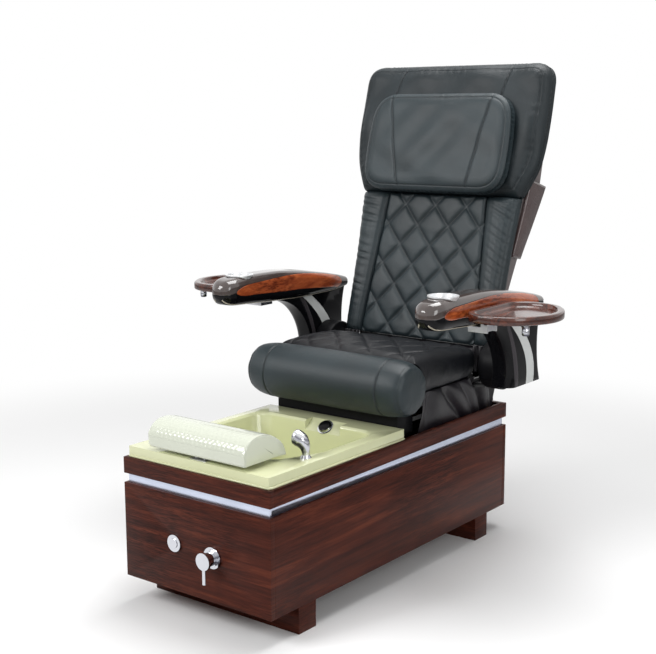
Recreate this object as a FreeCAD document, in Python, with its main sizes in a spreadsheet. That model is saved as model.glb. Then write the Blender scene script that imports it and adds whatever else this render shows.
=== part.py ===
import FreeCAD, Part
import Sketcher
import math
import os
from types import SimpleNamespace

# A pedicure bench: a foot basin in a laminate cabinet, with a reclining massage chair on slide rails.
# Millimetres. X is the sitter's left-hand side seen from the front, Y runs back, Z is up.
# The origin is on the floor, midway between the four anchor holes of the plinths.

SIZES = {
    # Cabinet
    "base_length": 1250,
    "base_width": 560,
    "board": 18,
    "plinth_height": 79,
    "plinth_depth": 76,
    "plinth_setback": 117,
    "anchor_radius": 4.5,
    "anchor_spacing": 400,
    "box_height": 286,
    "strip_height": 28,
    "strip_inset": 10,
    "strip_thick": 8,
    "band_height": 49,
    "core_lap_low": 15,
    "core_lap_high": 27,
    # Foot basin
    "basin_setback": 12,
    "basin_length": 633,
    "basin_margin": 13,
    "rim_height": 32,
    "rim_lip_height": 4,
    "rim_lip_reach": 2,
    "basin_wall": 5,
    "bowl_left_margin": 48,
    "bowl_right_margin": 58,
    "bowl_setback": 155,
    "bowl_rear_margin": 88,
    "bowl_depth": 284,
    "bowl_taper": 24,
    "bowl_corner": 52,
    "bowl_flare": 7,
    "bay_centre": 20,
    "bay_half_width": 68,
    "bay_reach": 38,
    "bay_drop": 36,
    "bay_lead": 7,
    # Waste fitting, its lifting stopper and the pipe to the back
    "drain_flange_radius": 32,
    "drain_flange_thick": 3,
    "drain_tube_radius": 19.5,
    "drain_bore": 15,
    "drain_hole_radius": 20,
    "drain_nut_radius": 28,
    "drain_nut_thick": 12,
    "drain_tube_drop": 35,
    "stopper_radius": 25,
    "stopper_thick": 5,
    "stopper_stem_radius": 4,
    "stopper_stem_length": 24,
    "waste_radius": 20,
    "waste_bore": 17,
    "waste_axis_height": 118.5,
    "waste_bend": 30,
    "pipe_stub": 35,
    "pipe_gap": 2,
    "pipe_end_radius": 10.4,
    "waste_end_radius": 24,
    "waste_socket_radius": 20,
    "waste_socket_depth": 25,
    # Water pipes and the hose to the spray head
    "pipe_radius": 7.5,
    "pipe_axis_height": 130,
    "pipe_margin": 65,
    "pipe_bend": 30,
    "pipe_row_setback": 50,
    "hose_radius": 6,
    "hose_bend": 35,
    "hose_drop": 142,
    # Mixer valve on the front panel
    "mixer_side": 70,
    "mixer_height": 212,
    "mixer_neck_radius": 17,
    "mixer_plate_radius": 31,
    "mixer_plate_thick": 6,
    "mixer_collar_radius": 24,
    "mixer_collar_thick": 5,
    "mixer_body_radius": 27,
    "mixer_body_setback": 24,
    "mixer_body_length": 54,
    "mixer_port_spacing": 44,
    "mixer_port_radius": 9,
    "mixer_port_drop": 36,
    "mixer_barrel_radius": 20,
    "mixer_barrel_length": 23,
    "mixer_cap_radius": 25,
    "mixer_cap_thick": 9,
    "mixer_lever_radius": 5.5,
    "mixer_lever_length": 67,
    "mixer_lever_offset": 1.4,
    # Air button on the front panel
    "button_side": 78,
    "button_height": 222,
    "button_radius": 14,
    "button_length": 16,
    "button_proud": 2,
    "bezel_radius": 25,
    "bezel_thick": 5,
    "bezel_neck_radius": 18,
    "bezel_neck_length": 52,
    "bezel_floor": 8,
    # Spray head on the basin deck
    "spray_margin": 58,
    "spray_setback": 224,
    "spray_collar_radius": 16,
    "spray_collar_height": 8,
    "spray_neck_radius": 9,
    "spray_neck_length": 19,
    "spray_bore": 7.05,
    "spray_stem_radius": 7,
    "spray_socket_depth": 11,
    "spray_stem_rise": 34,
    "spray_head_radius": 25,
    "spray_head_rise": 38,
    "spray_head_lean": 15,
    # Whirlpool jet in the bay of the basin
    "jet_cover_radius": 24,
    "jet_cover_thick": 9,
    "jet_rim_thick": 2.5,
    "jet_neck_radius": 12,
    "jet_motor_radius": 20,
    "jet_motor_length": 46,
    "impeller_radius": 15,
    "impeller_thick": 4,
    "impeller_lift": 0.3,
    # Footrest
    "footrest_half_length": 183,
    "footrest_setback": 9,
    "footrest_depth": 175,
    "footrest_height": 76,
    "footrest_low": 486,
    "footrest_wall": 5,
    "footrest_rib_half": 25,
    "footrest_hinge_setback": 36,
    "footrest_hinge_height": 483.5,
    "hinge_pin_radius": 3,
    "hinge_lug_radius": 6.2,
    "hinge_lug_half": 14,
    "hinge_ear_thick": 4,
    "hinge_plate_thick": 2,
    "hinge_plate_half": 30,
    "hinge_plate_depth": 34,
    "pad_side": 132,
    "pad_width": 24,
    "pad_setback": 110,
    "pad_depth": 26,
    "pad_height": 13.5,
    # Slide frame in the cabinet, and its cover behind the basin
    "cross_depth": 40,
    "cross_height": 30,
    "cross_top": 415,
    "cross_front_setback": 651,
    "cross_rear_setback": 1125,
    "rail_margin": 110,
    "rail_width": 44,
    "rail_height": 30,
    "rail_wall": 6,
    "rail_start": 725,
    "rail_end": 1185,
    "apron_margin": 42,
    "apron_thick": 12,
    "apron_top": 504,
    "apron_depth": 84,
    "slide_motor_side": 60,
    "slide_motor_radius": 16,
    "slide_motor_length": 230,
    "slide_rod_radius": 8,
    "slide_rod_height": 396,
    "slide_rod_start": 785,
    # Control box with the mains inlet in the back panel
    "control_length": 160,
    "control_width": 110,
    "control_height": 90,
    "control_side": 130,
    "control_low": 190,
    "inlet_width": 28,
    "inlet_height": 20,
    "inlet_wall": 4,
    "inlet_recess": 16,
    # Seat frame
    "runner_width": 30,
    "runner_height": 30,
    "runner_gap": 0.3,
    "runner_start": 775,
    "runner_end": 1145,
    "post_width": 30,
    "post_front_setback": 795,
    "post_rear_setback": 1095,
    "brace_low": 470,
    "seat_rail_low": 524,
    "seat_rail_top": 554,
    "seat_rail_start": 745,
    "seat_rail_end": 1145,
    "hoop_width": 8,
    "hoop_low": 545,
    "hoop_top": 556,
    "hoop_rear_setback": 1181,
    "hoop_margin": 18,
    "pan_thick": 12,
    "pan_start": 725.3,
    "pan_end": 1030,
    "upstand_thick": 14.7,
    "upstand_low": 530,
    "upstand_top": 602,
    # Recline hinge and its motor
    "hinge_setback": 1120,
    "hinge_height": 630,
    "hinge_side": 204,
    "recline_ear_thick": 8,
    "recline_ear_radius": 16,
    "recline_pin_radius": 8,
    "recline_bore": 8.05,
    "recline_pin_length": 26,
    "motor_clear": 7,
    "motor_radius": 17,
    "motor_start": 785,
    "motor_length": 240,
    "motor_bore_start": 30,
    "motor_rod_radius": 8,
    "motor_rod_start": 900,
    "fork_radius": 17,
    "fork_bore": 9.5,
    "fork_gap": 8,
    "fork_thick": 6,
    "lever_pin_radius": 5,
    "lever_pin_half": 16,
    "lever_half_thick": 6,
    "lever_width": 22,
    "lever_reach": 31,
    "lever_clear": 2,
    # Arm carriers
    "carrier_depth": 38,
    "carrier_bar_low": 530,
    "carrier_bar_top": 544,
    "carrier_start": 1065,
    "carrier_plate_out": 302,
    "carrier_plate_thick": 8,
    "carrier_plate_top": 640,
    "arm_pivot_height": 610,
    "arm_shaft_radius": 12,
    "arm_bore": 12.05,
    "arm_shaft_depth": 25,
    # Seat cushion and its front roll
    "seat_half_width": 283,
    "seat_top": 692,
    "seat_start": 690,
    "seat_end": 1075,
    "seat_side_top": 628,
    "roll_radius": 90,
    "roll_setback": 643,
    "roll_height": 597,
    "roll_half_length": 308,
    "roll_seam_side": 220,
    "roll_seam_depth": 3.5,
    "roll_seam_width": 8,
    "soft_gap": 0.3,
    "groove_width": 15,
    "groove_depth": 6,
    "diamond_width": 124,
    "diamond_height": 142,
    "seat_groove_floor": 681,
    # Skirts
    "skirt_thick": 3,
    "skirt_top": 561,
    "skirt_straight": 528,
    "skirt_low": 430,
    "skirt_margin": 29,
    "skirt_start": 735,
    "skirt_fold": 4,
    "skirt_rear_low_setback": 1222,
    "skirt_notch_clear": 5,
    # Backrest
    "back_angle": 15,
    "quilt_low": 24,
    "quilt_top": 526,
    "quilt_half_low": 234,
    "quilt_half_top": 197,
    "quilt_front": 28,
    "quilt_back": 12,
    "bolster_half_low": 306,
    "bolster_half_mid": 309,
    "bolster_half_top": 320,
    "bolster_front": 46,
    "bolster_back": 12,
    "head_half_width": 377,
    "head_low": 526.3,
    "head_top": 985,
    "head_front": 54,
    "head_back": 12,
    "head_corner": 46,
    "head_waist_half": 318,
    "head_round": 60,
    "pillow_half_width": 290,
    "pillow_low": 524,
    "pillow_top": 868,
    "pillow_front": 106,
    "pillow_corner": 62,
    "pillow_round": 62,
    "shell_thick": 4,
    "shell_front": 12.3,
    "shell_low": 6,
    "shell_top": 925,
    "shell_half_width": 326,
    "shell_depth": 148,
    "pocket_front": 16,
    "pocket_low": 335,
    "pocket_top": 596,
    "pocket_thick": 13,
    "pocket_wall": 2,
    "pocket_low_back": 70,
    "pocket_top_back": 124,
    "board_low": 52,
    "board_mid": 700,
    "board_top": 880,
    "board_half_low": 250,
    "board_half_mid": 305,
    "board_half_top": 280,
    "board_slot_half": 112,
    "frame_side": 214,
    "frame_plate_thick": 8,
    "frame_plate_width": 36,
    "frame_tube": 20,
    "frame_tube_front": 24,
    "frame_low": 50,
    "frame_top": 880,
    # Massage carriage and its rollers
    "guide_reach": 90,
    "guide_radius": 6,
    "guide_bore": 6.05,
    "carriage_low": 300,
    "carriage_height": 60,
    "carriage_block": 24,
    "carriage_depth": 34,
    "carriage_bar": 12,
    "roller_radius": 18,
    "roller_width": 20,
    "roller_shaft_radius": 5,
    "roller_shaft_bore": 5.05,
    "roller_inner_side": 28,
    "roller_outer_side": 60,
    # Arms
    "arm_side": 400,
    "arm_start": 541,
    "arm_length": 664,
    "arm_width": 97,
    "arm_low": 786,
    "arm_rise": 109,
    "arm_round": 25,
    "leg_inner": 372,
    "leg_width": 72,
    "leg_arch_radius": 200,
    "leg_arch_setback": 795,
    "leg_low": 560,
    "leg_end": 1195,
    "leg_waist": 22,
    "leg_round": 30,
    "leg_top_start": 838,
    "leg_lean": 10,
    "inlay_thick": 7,
    "inlay_start": 600,
    "inlay_end": 1150,
    "inlay_low_front": 830,
    "inlay_low_mid": 822,
    "inlay_low_rear": 798,
    "inlay_top_front": 864,
    "inlay_top_mid": 876,
    "inlay_top_rear": 842,
    "nose_low": 838,
    "cup_setback": 648,
    "cup_radius": 40,
    "cup_wall": 2.5,
    "cup_flange_radius": 47,
    "cup_flange_thick": 4,
    "cup_depth": 54,
    "cup_top": 898,
    # Folding side trays
    "tray_inner": 458,
    "tray_width": 240,
    "tray_start": 640,
    "tray_length": 330,
    "tray_low": 826,
    "tray_thick": 25,
    "tray_rim": 22,
    "tray_recess": 14,
    "tray_corner": 62,
    "tray_hinge_side": 474,
    "tray_hinge_height": 806,
    "tray_hinge_setback": 770,
    "tray_hinge_length": 60,
    "tray_ear_thick": 6,
    "tray_pin_radius": 4,
    "tray_pin_bore": 4.05,
    "tray_knuckle_radius": 9,
    "tray_plate_thick": 12,
    "tray_plate_inner": 412,
    # Cuts run past their faces by this much
    "overrun": 5,
}

# Corners of the bowl's mouth, counter-clockwise from the front left: shares of the half width and the length
BOWL_SHARES = [(-1, 0), (0.74, 0), (0.86, 0.15), (1, 0.36), (1, 1), (-1, 1)]
# Crown of a cushion from its back face to its front: share of its thickness, share of its rounding
CROWN_SHARES = [(0, 0.22), (0.2, 0.07), (0.45, 0), (0.66, 0), (0.84, 0.14), (0.95, 0.42), (1, 1)]
# Right half of the head cushion's outline from the waist up: share of the half width, share of the height
HEAD_SHARES = [(0.905, 0.11), (0.97, 0.24), (0.995, 0.4), (1, 0.62), (0.985, 1)]
# Stations along an arm: share of its length, of its half width, and of its rise at the underside and the top
ARM_SHARES = [
    (0, 0.36, 0.36, 0.73), (0.012, 0.64, 0.26, 0.83), (0.034, 0.84, 0.18, 0.91), (0.078, 0.98, 0.14, 0.96),
    (0.181, 1, 0.11, 1), (0.29, 1, 0.07, 1), (0.403, 0.98, 0.04, 0.99), (0.52, 0.97, 0.01, 0.94),
    (0.624, 0.96, 0, 0.86), (0.74, 0.94, 0.01, 0.75), (0.845, 0.92, 0.02, 0.64), (0.985, 0.84, 0.13, 0.44),
    (1, 0.6, 0.18, 0.38),
]
# Stations up the back shell: shares of its height, its half width, its depth at the sides and in the middle
SHELL_SHARES = [
    (0, 0.8, 0.14, 0.48), (0.16, 0.865, 0.24, 0.6), (0.35, 0.905, 0.38, 0.76), (0.52, 0.955, 0.54, 0.93),
    (0.64, 0.985, 0.6, 1), (0.76, 1, 0.52, 0.95), (0.86, 0.985, 0.38, 0.82), (0.94, 0.94, 0.22, 0.6),
    (1, 0.87, 0.06, 0.34),
]
# Outline of a side tray: share of its width outwards, share of its length backwards
TRAY_SHARES = [(0, 0.12), (0.2, 0), (0.68, 0.03), (1, 0.38), (0.95, 0.72), (0.62, 1), (0.2, 1), (0, 0.86)]
# Section of the footrest: share of its depth, share of its height, going up the front and back over the top
FOOTREST_SHARES = [(0.01, 0.1), (0, 0.52), (0.12, 0.84), (0.34, 1), (0.6, 0.93), (0.8, 0.68), (0.94, 0.38),
                   (1, 0)]
# End of the seat roll from its seam outwards: share of the free length, share of the radius
ROLL_END_SHARES = [(0.45, 0.95), (0.8, 0.86), (0.97, 0.66), (1, 0.45), (0.97, 0)]
# Stations along the seat cushion: share of its length, share of its crown, share of its side height
SEAT_SHARES = [(0, 0.98, 1), (0.3, 1, 0.96), (0.65, 0.95, 0.86), (1, 0.74, 0.78)]

doc = FreeCAD.newDocument("PedicureBench")


class Length:
    """A size of the sheet, or a sum of sizes: its value now, and the formula that the document keeps."""

    def __init__(self, value, formula):
        self.value = float(value)
        self.formula = formula

    def __float__(self):
        return self.value

    def __add__(self, other):
        return Length(self.value + float(other), "(%s + %s)" % (self.formula, formula_of(other)))

    def __radd__(self, other):
        return Length(float(other) + self.value, "(%s + %s)" % (formula_of(other), self.formula))

    def __sub__(self, other):
        return Length(self.value - float(other), "(%s - %s)" % (self.formula, formula_of(other)))

    def __rsub__(self, other):
        return Length(float(other) - self.value, "(%s - %s)" % (formula_of(other), self.formula))

    def __mul__(self, other):
        return Length(self.value * float(other), "(%s * %s)" % (self.formula, formula_of(other)))

    __rmul__ = __mul__

    def __truediv__(self, other):
        return Length(self.value / float(other), "(%s / %s)" % (self.formula, formula_of(other)))

    def __neg__(self):
        return Length(-self.value, "(0 - %s)" % self.formula)


def formula_of(number):
    """The text of a Length or a plain number in a formula."""
    return number.formula if isinstance(number, Length) else repr(float(number))


def fill_sheet():
    """Write every size into the document's sheet, and give it back under its name."""
    sheet = doc.addObject("Spreadsheet::Sheet", "Sizes")
    for row, (name, value) in enumerate(SIZES.items(), start=1):
        sheet.set("A%d" % row, name)
        sheet.set("B%d" % row, str(value))
        sheet.setAlias("B%d" % row, name)
    doc.recompute()
    return SimpleNamespace(**{name: Length(sheet.get(name), "Sizes." + name) for name in SIZES})


size = fill_sheet()
nodes = []


def node(piece, name):
    """Keep a finished piece under the name of its file."""
    piece.Label = name
    nodes.append(piece)
    return piece


def bind(piece, prop, length):
    """Tie a property to its formula, or set it where it is a plain number."""
    if isinstance(length, Length):
        piece.setExpression(prop, length.formula)
    elif "." in prop:
        place = piece.Placement.Base
        setattr(place, prop.rsplit(".", 1)[1], float(length))
        piece.Placement.Base = place
    else:
        setattr(piece, prop, float(length))


def stand(piece, at, turn=None):
    """Place a piece at a point, turned if need be, with its coordinates tied to the sheet."""
    piece.Placement = FreeCAD.Placement(point(*at), turn or FreeCAD.Rotation())
    for axis, length in zip("xyz", at):
        bind(piece, "Placement.Base." + axis, length)
    return piece


def point(x, y, z):
    """A vector of lengths or numbers."""
    return FreeCAD.Vector(float(x), float(y), float(z))


X_AXIS, Y_AXIS, Z_AXIS = point(1, 0, 0), point(0, 1, 0), point(0, 0, 1)
TURNS = {
    "up": FreeCAD.Rotation(),
    "right": FreeCAD.Rotation(Y_AXIS, 90),
    "back": FreeCAD.Rotation(X_AXIS, -90),
}


def board(name, x, y, z):
    """A box between the low and high length on each axis."""
    box = doc.addObject("Part::Box", name)
    stand(box, (x[0], y[0], z[0]))
    for prop, (low, high) in (("Length", x), ("Width", y), ("Height", z)):
        bind(box, prop, high - low)
    return box


def rod(name, radius, length, at, facing="up"):
    """A round bar that starts at a point."""
    bar = doc.addObject("Part::Cylinder", name)
    stand(bar, at, TURNS[facing])
    bind(bar, "Radius", radius)
    bind(bar, "Height", length)
    return bar


def joined(name, pieces):
    """One solid out of pieces that are welded or moulded together."""
    whole = doc.addObject("Part::MultiFuse", name)
    whole.Shapes = pieces
    return whole


def cut(name, piece, tools):
    """A piece with the tools taken out of it."""
    tool = tools[0]
    if len(tools) > 1:
        tool = joined(name + "_tools", tools)
    rest = doc.addObject("Part::Cut", name)
    rest.Base = piece
    rest.Tool = tool
    return rest


def group(name, pieces):
    """Separate solids that share a node."""
    whole = doc.addObject("Part::Compound", name)
    whole.Links = pieces
    return whole


def formed(name, shape, placement=None):
    """A piece whose shape is made by the functions below."""
    piece = doc.addObject("Part::Feature", name)
    piece.Shape = shape
    if placement:
        piece.Placement = placement
    return piece


def profile_sketch(body, name, plane, corners):
    """A closed outline of straight lines in a body's own plane, each corner tied to the sheet."""
    sketch = body.newObject("Sketcher::SketchObject", name)
    origin = [part for part in body.Origin.OriginFeatures if part.Role == plane][0]
    sketch.AttachmentSupport = [(origin, "")]
    sketch.MapMode = "FlatFace"
    spots = [point(x, y, 0) for x, y in corners]
    lines = [Part.LineSegment(here, there) for here, there in zip(spots, spots[1:] + spots[:1])]
    sketch.addGeometry(lines, False)
    for index, corner in enumerate(corners):
        sketch.addConstraint(Sketcher.Constraint("Coincident", index - 1 if index else len(corners) - 1, 2,
                                                 index, 1))
        for kind, axis, length in (("DistanceX", -2, corner[0]), ("DistanceY", -1, corner[1])):
            if not isinstance(length, Length):
                sketch.addConstraint(Sketcher.Constraint("PointOnObject", index, 1, axis))
                continue
            row = sketch.addConstraint(Sketcher.Constraint(kind, index, 1, float(length)))
            label = "%s%d" % (kind[-1].lower(), index)
            sketch.renameConstraint(row, label)
            sketch.setExpression("Constraints." + label, length.formula)
    return sketch


def turned(name, corners, at, facing="up", turn=None):
    """A turned piece: corners of its half section as (radius, height), on an axis through a point."""
    body = doc.addObject("PartDesign::Body", name)
    spin = body.newObject("PartDesign::Revolution", name + "_turn")
    spin.Profile = profile_sketch(body, name + "_section", "XZ_Plane", corners)
    spin.ReferenceAxis = (spin.Profile[0], ["V_Axis"])
    spin.Angle = 360
    body.Tip = spin
    return stand(body, at, turn or TURNS[facing])


def padded(name, plane, corners, depth, at):
    """A plate of constant thickness: corners in a plane, pushed out both ways from it."""
    body = doc.addObject("PartDesign::Body", name)
    pad = body.newObject("PartDesign::Pad", name + "_pad")
    pad.Profile = profile_sketch(body, name + "_outline", plane, corners)
    bind(pad, "Length", depth)
    pad.Midplane = True
    body.Tip = pad
    return stand(body, at)


def line(start, end):
    return Part.LineSegment(start, end).toShape()


def arc(start, middle, end):
    return Part.Arc(start, middle, end).toShape()


def inset(corners, distance):
    """A convex counter-clockwise outline with every side moved in by a distance."""
    moved = []
    count = len(corners)
    for index in range(count):
        (ax, ay), (bx, by), (cx, cy) = corners[index - 1], corners[index], corners[(index + 1) % count]
        first = math.hypot(bx - ax, by - ay)
        second = math.hypot(cx - bx, cy - by)
        nx, ny = -(by - ay) / first, (bx - ax) / first
        mx, my = -(cy - by) / second, (cx - bx) / second
        share = distance / (1 + nx * mx + ny * my)
        moved.append((bx + (nx + mx) * share, by + (ny + my) * share))
    return moved


def rounded(corners, radius, place):
    """A closed wire through an outline with its corners rounded, put in space by a function."""
    spots = [FreeCAD.Vector(x, y, 0) for x, y in corners]
    count = len(spots)
    bends = []
    for index, here in enumerate(spots):
        before = spots[index - 1] - here
        after = spots[(index + 1) % count] - here
        half = before.getAngle(after) / 2
        reach = min(radius / math.tan(half), 0.45 * before.Length, 0.45 * after.Length)
        before.normalize()
        after.normalize()
        middle = (before + after).normalize()
        drop = reach / math.cos(half) - reach * math.tan(half)
        bends.append((here + before * reach, here + middle * drop, here + after * reach))
    edges = []
    for index, (start, middle, end) in enumerate(bends):
        following = bends[(index + 1) % count][0]
        edges.append(arc(place(start), place(middle), place(end)))
        edges.append(line(place(end), place(following)))
    return Part.Wire(edges)


def at_height(height):
    return lambda spot: FreeCAD.Vector(spot.x, spot.y, height)


def facing_front(depth):
    return lambda spot: FreeCAD.Vector(spot.x, -depth, spot.y)


def crowned(corners, radius, back, front, rounding):
    """A stuffed cushion that faces front: it swells from a drawn-in back edge to a crown."""
    wires = []
    for depth_share, inset_share in CROWN_SHARES:
        depth = back + (front - back) * depth_share
        outline = inset(corners, rounding * inset_share)
        wires.append(rounded(outline, radius, facing_front(depth)))
    return Part.makeLoft(wires, True, True)


def prism(wire, along):
    """The solid that a flat closed wire sweeps along a vector."""
    return Part.Face(wire).extrude(along)


def block(low, high):
    """A box between two corners."""
    return Part.makeBox(high.x - low.x, high.y - low.y, high.z - low.z, low)


def bent_pipe(route, bend, radius, bore=None):
    """A pipe along straight runs joined by tangent arcs of one bend radius."""
    spots = [point(*spot) for spot in route]
    edges = []
    start = spots[0]
    for before, here, after in zip(spots, spots[1:], spots[2:]):
        back = (before - here).normalize()
        on = (after - here).normalize()
        half = back.getAngle(on) / 2
        reach = bend / math.tan(half)
        middle = here + (back + on).normalize() * (bend / math.sin(half) - bend)
        edges.append(line(start, here + back * reach))
        edges.append(arc(here + back * reach, middle, here + on * reach))
        start = here + on * reach
    edges.append(line(start, spots[-1]))
    spine = Part.Wire(edges)
    direction = spots[1] - spots[0]

    def tube(width):
        ring = Part.Wire([Part.Circle(spots[0], direction, width).toShape()])
        return spine.makePipeShell([ring], True, False)

    return tube(radius).cut(tube(bore)) if bore else tube(radius)


front = -size.base_length / 2
rear = size.base_length / 2
half_width = size.base_width / 2
rail_side = half_width - size.rail_margin
hoop_half = half_width - size.hoop_margin
pipe_side = half_width - size.pipe_margin
spray_side = half_width - size.spray_margin
motor_height = size.seat_rail_top - size.motor_clear - size.motor_radius
lever_drop = size.hinge_height - motor_height - size.lever_clear
seat_low = size.seat_rail_top + size.pan_thick + size.soft_gap
inner_half = half_width - size.board
box_top = size.plinth_height + size.box_height
band_bottom = box_top + size.strip_height
band_top = band_bottom + size.band_height
deck = band_top + size.rim_height


def behind_front(distance):
    """A place along the bench, measured back from the cabinet's front face."""
    return front + distance


def ring_of_boards(name, half_x, half_y, thick, z):
    """Four boards butted into a frame."""
    across = (-half_x, half_x)
    along = (thick - half_y, half_y - thick)
    return group(name, [
        board(name + "_front", across, (-half_y, thick - half_y), z),
        board(name + "_rear", across, (half_y - thick, half_y), z),
        board(name + "_left", (-half_x, thick - half_x), along, z),
        board(name + "_right", (half_x - thick, half_x), along, z),
    ])


def make_plinth(name, side):
    """A hollow plinth across the cabinet, with two anchor holes in its floor."""
    setback = front + size.plinth_setback if side < 0 else rear - size.plinth_setback - size.plinth_depth
    depth = size.plinth_depth
    outer = board(name + "_block", (-half_width, half_width), (setback, setback + depth),
                  (0, size.plinth_height))
    hollow = board(name + "_hollow", (-inner_half, inner_half),
                   (setback + size.board, setback + depth - size.board),
                   (size.board, size.plinth_height + size.overrun))
    holes = [rod("%s_anchor_%d" % (name, index), size.anchor_radius, size.board + 2 * size.overrun,
                 (size.anchor_spacing / 2 * way, setback + depth / 2, -size.overrun))
             for index, way in enumerate((-1, 1))]
    return cut(name, outer, [hollow] + holes)


def make_cabinet():
    """The laminate cabinet: plinths, panels, core frame, metal strip and top band."""
    panel_z = (size.plinth_height, box_top)
    node(group("plinths", [make_plinth("front_plinth", -1), make_plinth("rear_plinth", 1)]), "plinths")
    front_board = board("front_board", (-half_width, half_width), (front, front + size.board), panel_z)
    through = size.board + 2 * size.overrun
    mixer_hole = rod("mixer_hole", size.mixer_neck_radius + size.soft_gap, through,
                     (size.mixer_side, front - size.overrun, size.mixer_height), "back")
    button_hole = rod("button_hole", size.bezel_neck_radius + size.soft_gap, through,
                      (-size.button_side, front - size.overrun, size.button_height), "back")
    node(cut("front_panel", front_board, [mixer_hole, button_hole]), "front_panel")
    rear_board = board("rear_board", (-half_width, half_width), (rear - size.board, rear), panel_z)
    rear_y = rear - size.board - size.overrun
    pipe_holes = [rod("pipe_hole_%d" % index, size.pipe_radius + size.soft_gap, through,
                      (pipe_side * way, rear_y, size.pipe_axis_height), "back")
                  for index, way in enumerate((-1, 1))]
    waste_hole = rod("waste_hole", size.waste_radius + size.soft_gap, through,
                     (bowl_centre_x, rear_y, size.waste_axis_height), "back")
    inlet_x = inlet_span(size.inlet_width + 2 * size.inlet_wall + 2 * size.soft_gap)
    inlet_z = inlet_rise(size.inlet_height + 2 * size.inlet_wall + 2 * size.soft_gap)
    inlet_hole = board("inlet_hole", inlet_x, (rear_y, rear + size.overrun), inlet_z)
    node(cut("rear_panel", rear_board, pipe_holes + [waste_hole, inlet_hole]), "rear_panel")
    side_y = (front + size.board, rear - size.board)
    node(group("case_panels", [
        board("side_panel_left", (-half_width, -inner_half), side_y, panel_z),
        board("side_panel_right", (inner_half, half_width), side_y, panel_z),
        board("bottom_panel", (-inner_half, inner_half), side_y,
              (size.plinth_height, size.plinth_height + size.board)),
    ]), "case_panels")
    core_z = (box_top - size.core_lap_low, band_bottom + size.core_lap_high)
    inner_y = rear - size.board
    node(ring_of_boards("core_frame", inner_half, inner_y, size.board, core_z), "core_frame")
    node(ring_of_boards("trim_strip", half_width - size.strip_inset, rear - size.strip_inset,
                        size.strip_thick, (box_top, band_bottom)), "trim_strip")
    node(ring_of_boards("top_band", half_width, rear, size.board, (band_bottom, band_top)), "top_band")


bowl_centre_x = (size.bowl_left_margin - size.bowl_right_margin) / 2
bowl_half = half_width - (size.bowl_left_margin + size.bowl_right_margin) / 2
bowl_front = behind_front(size.bowl_setback)
bowl_length = size.basin_setback + size.basin_length - size.bowl_rear_margin - size.bowl_setback
bowl_rear = bowl_front + bowl_length
bowl_floor = deck - size.bowl_depth


def inlet_span(width):
    return (size.control_side - width / 2, size.control_side + width / 2)


def inlet_rise(height):
    middle = size.control_low + size.control_height / 2
    return (middle - height / 2, middle + height / 2)


def bowl_wire(grow, height):
    """The bowl's outline at a height, grown outwards by a distance."""
    corners = [(float(bowl_centre_x) + float(bowl_half) * x, float(bowl_front) + float(bowl_length) * y)
               for x, y in BOWL_SHARES]
    return rounded(inset(corners, -grow), float(size.bowl_corner), at_height(height))


def bay_outline(grow):
    """Section of the bay in the bowl's rear wall: a slope that carries the jet, open above."""
    top = point(0, bowl_rear + size.bay_reach + grow, deck)
    low_front = point(0, bowl_rear - size.bay_lead, deck - size.bay_drop - grow)
    return [low_front, top, top + Z_AXIS * float(size.overrun),
            point(0, low_front.y, top.z + float(size.overrun))]


bay_slope = math.atan2(float(size.bay_drop), float(size.bay_reach + size.bay_lead))
bay_normal = FreeCAD.Vector(0, -math.sin(bay_slope), math.cos(bay_slope))
jet_spot = point(size.bay_centre, bowl_rear + (size.bay_reach - size.bay_lead) / 2, deck - size.bay_drop / 2)
jet_turn = FreeCAD.Rotation(Z_AXIS, bay_normal)


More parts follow.
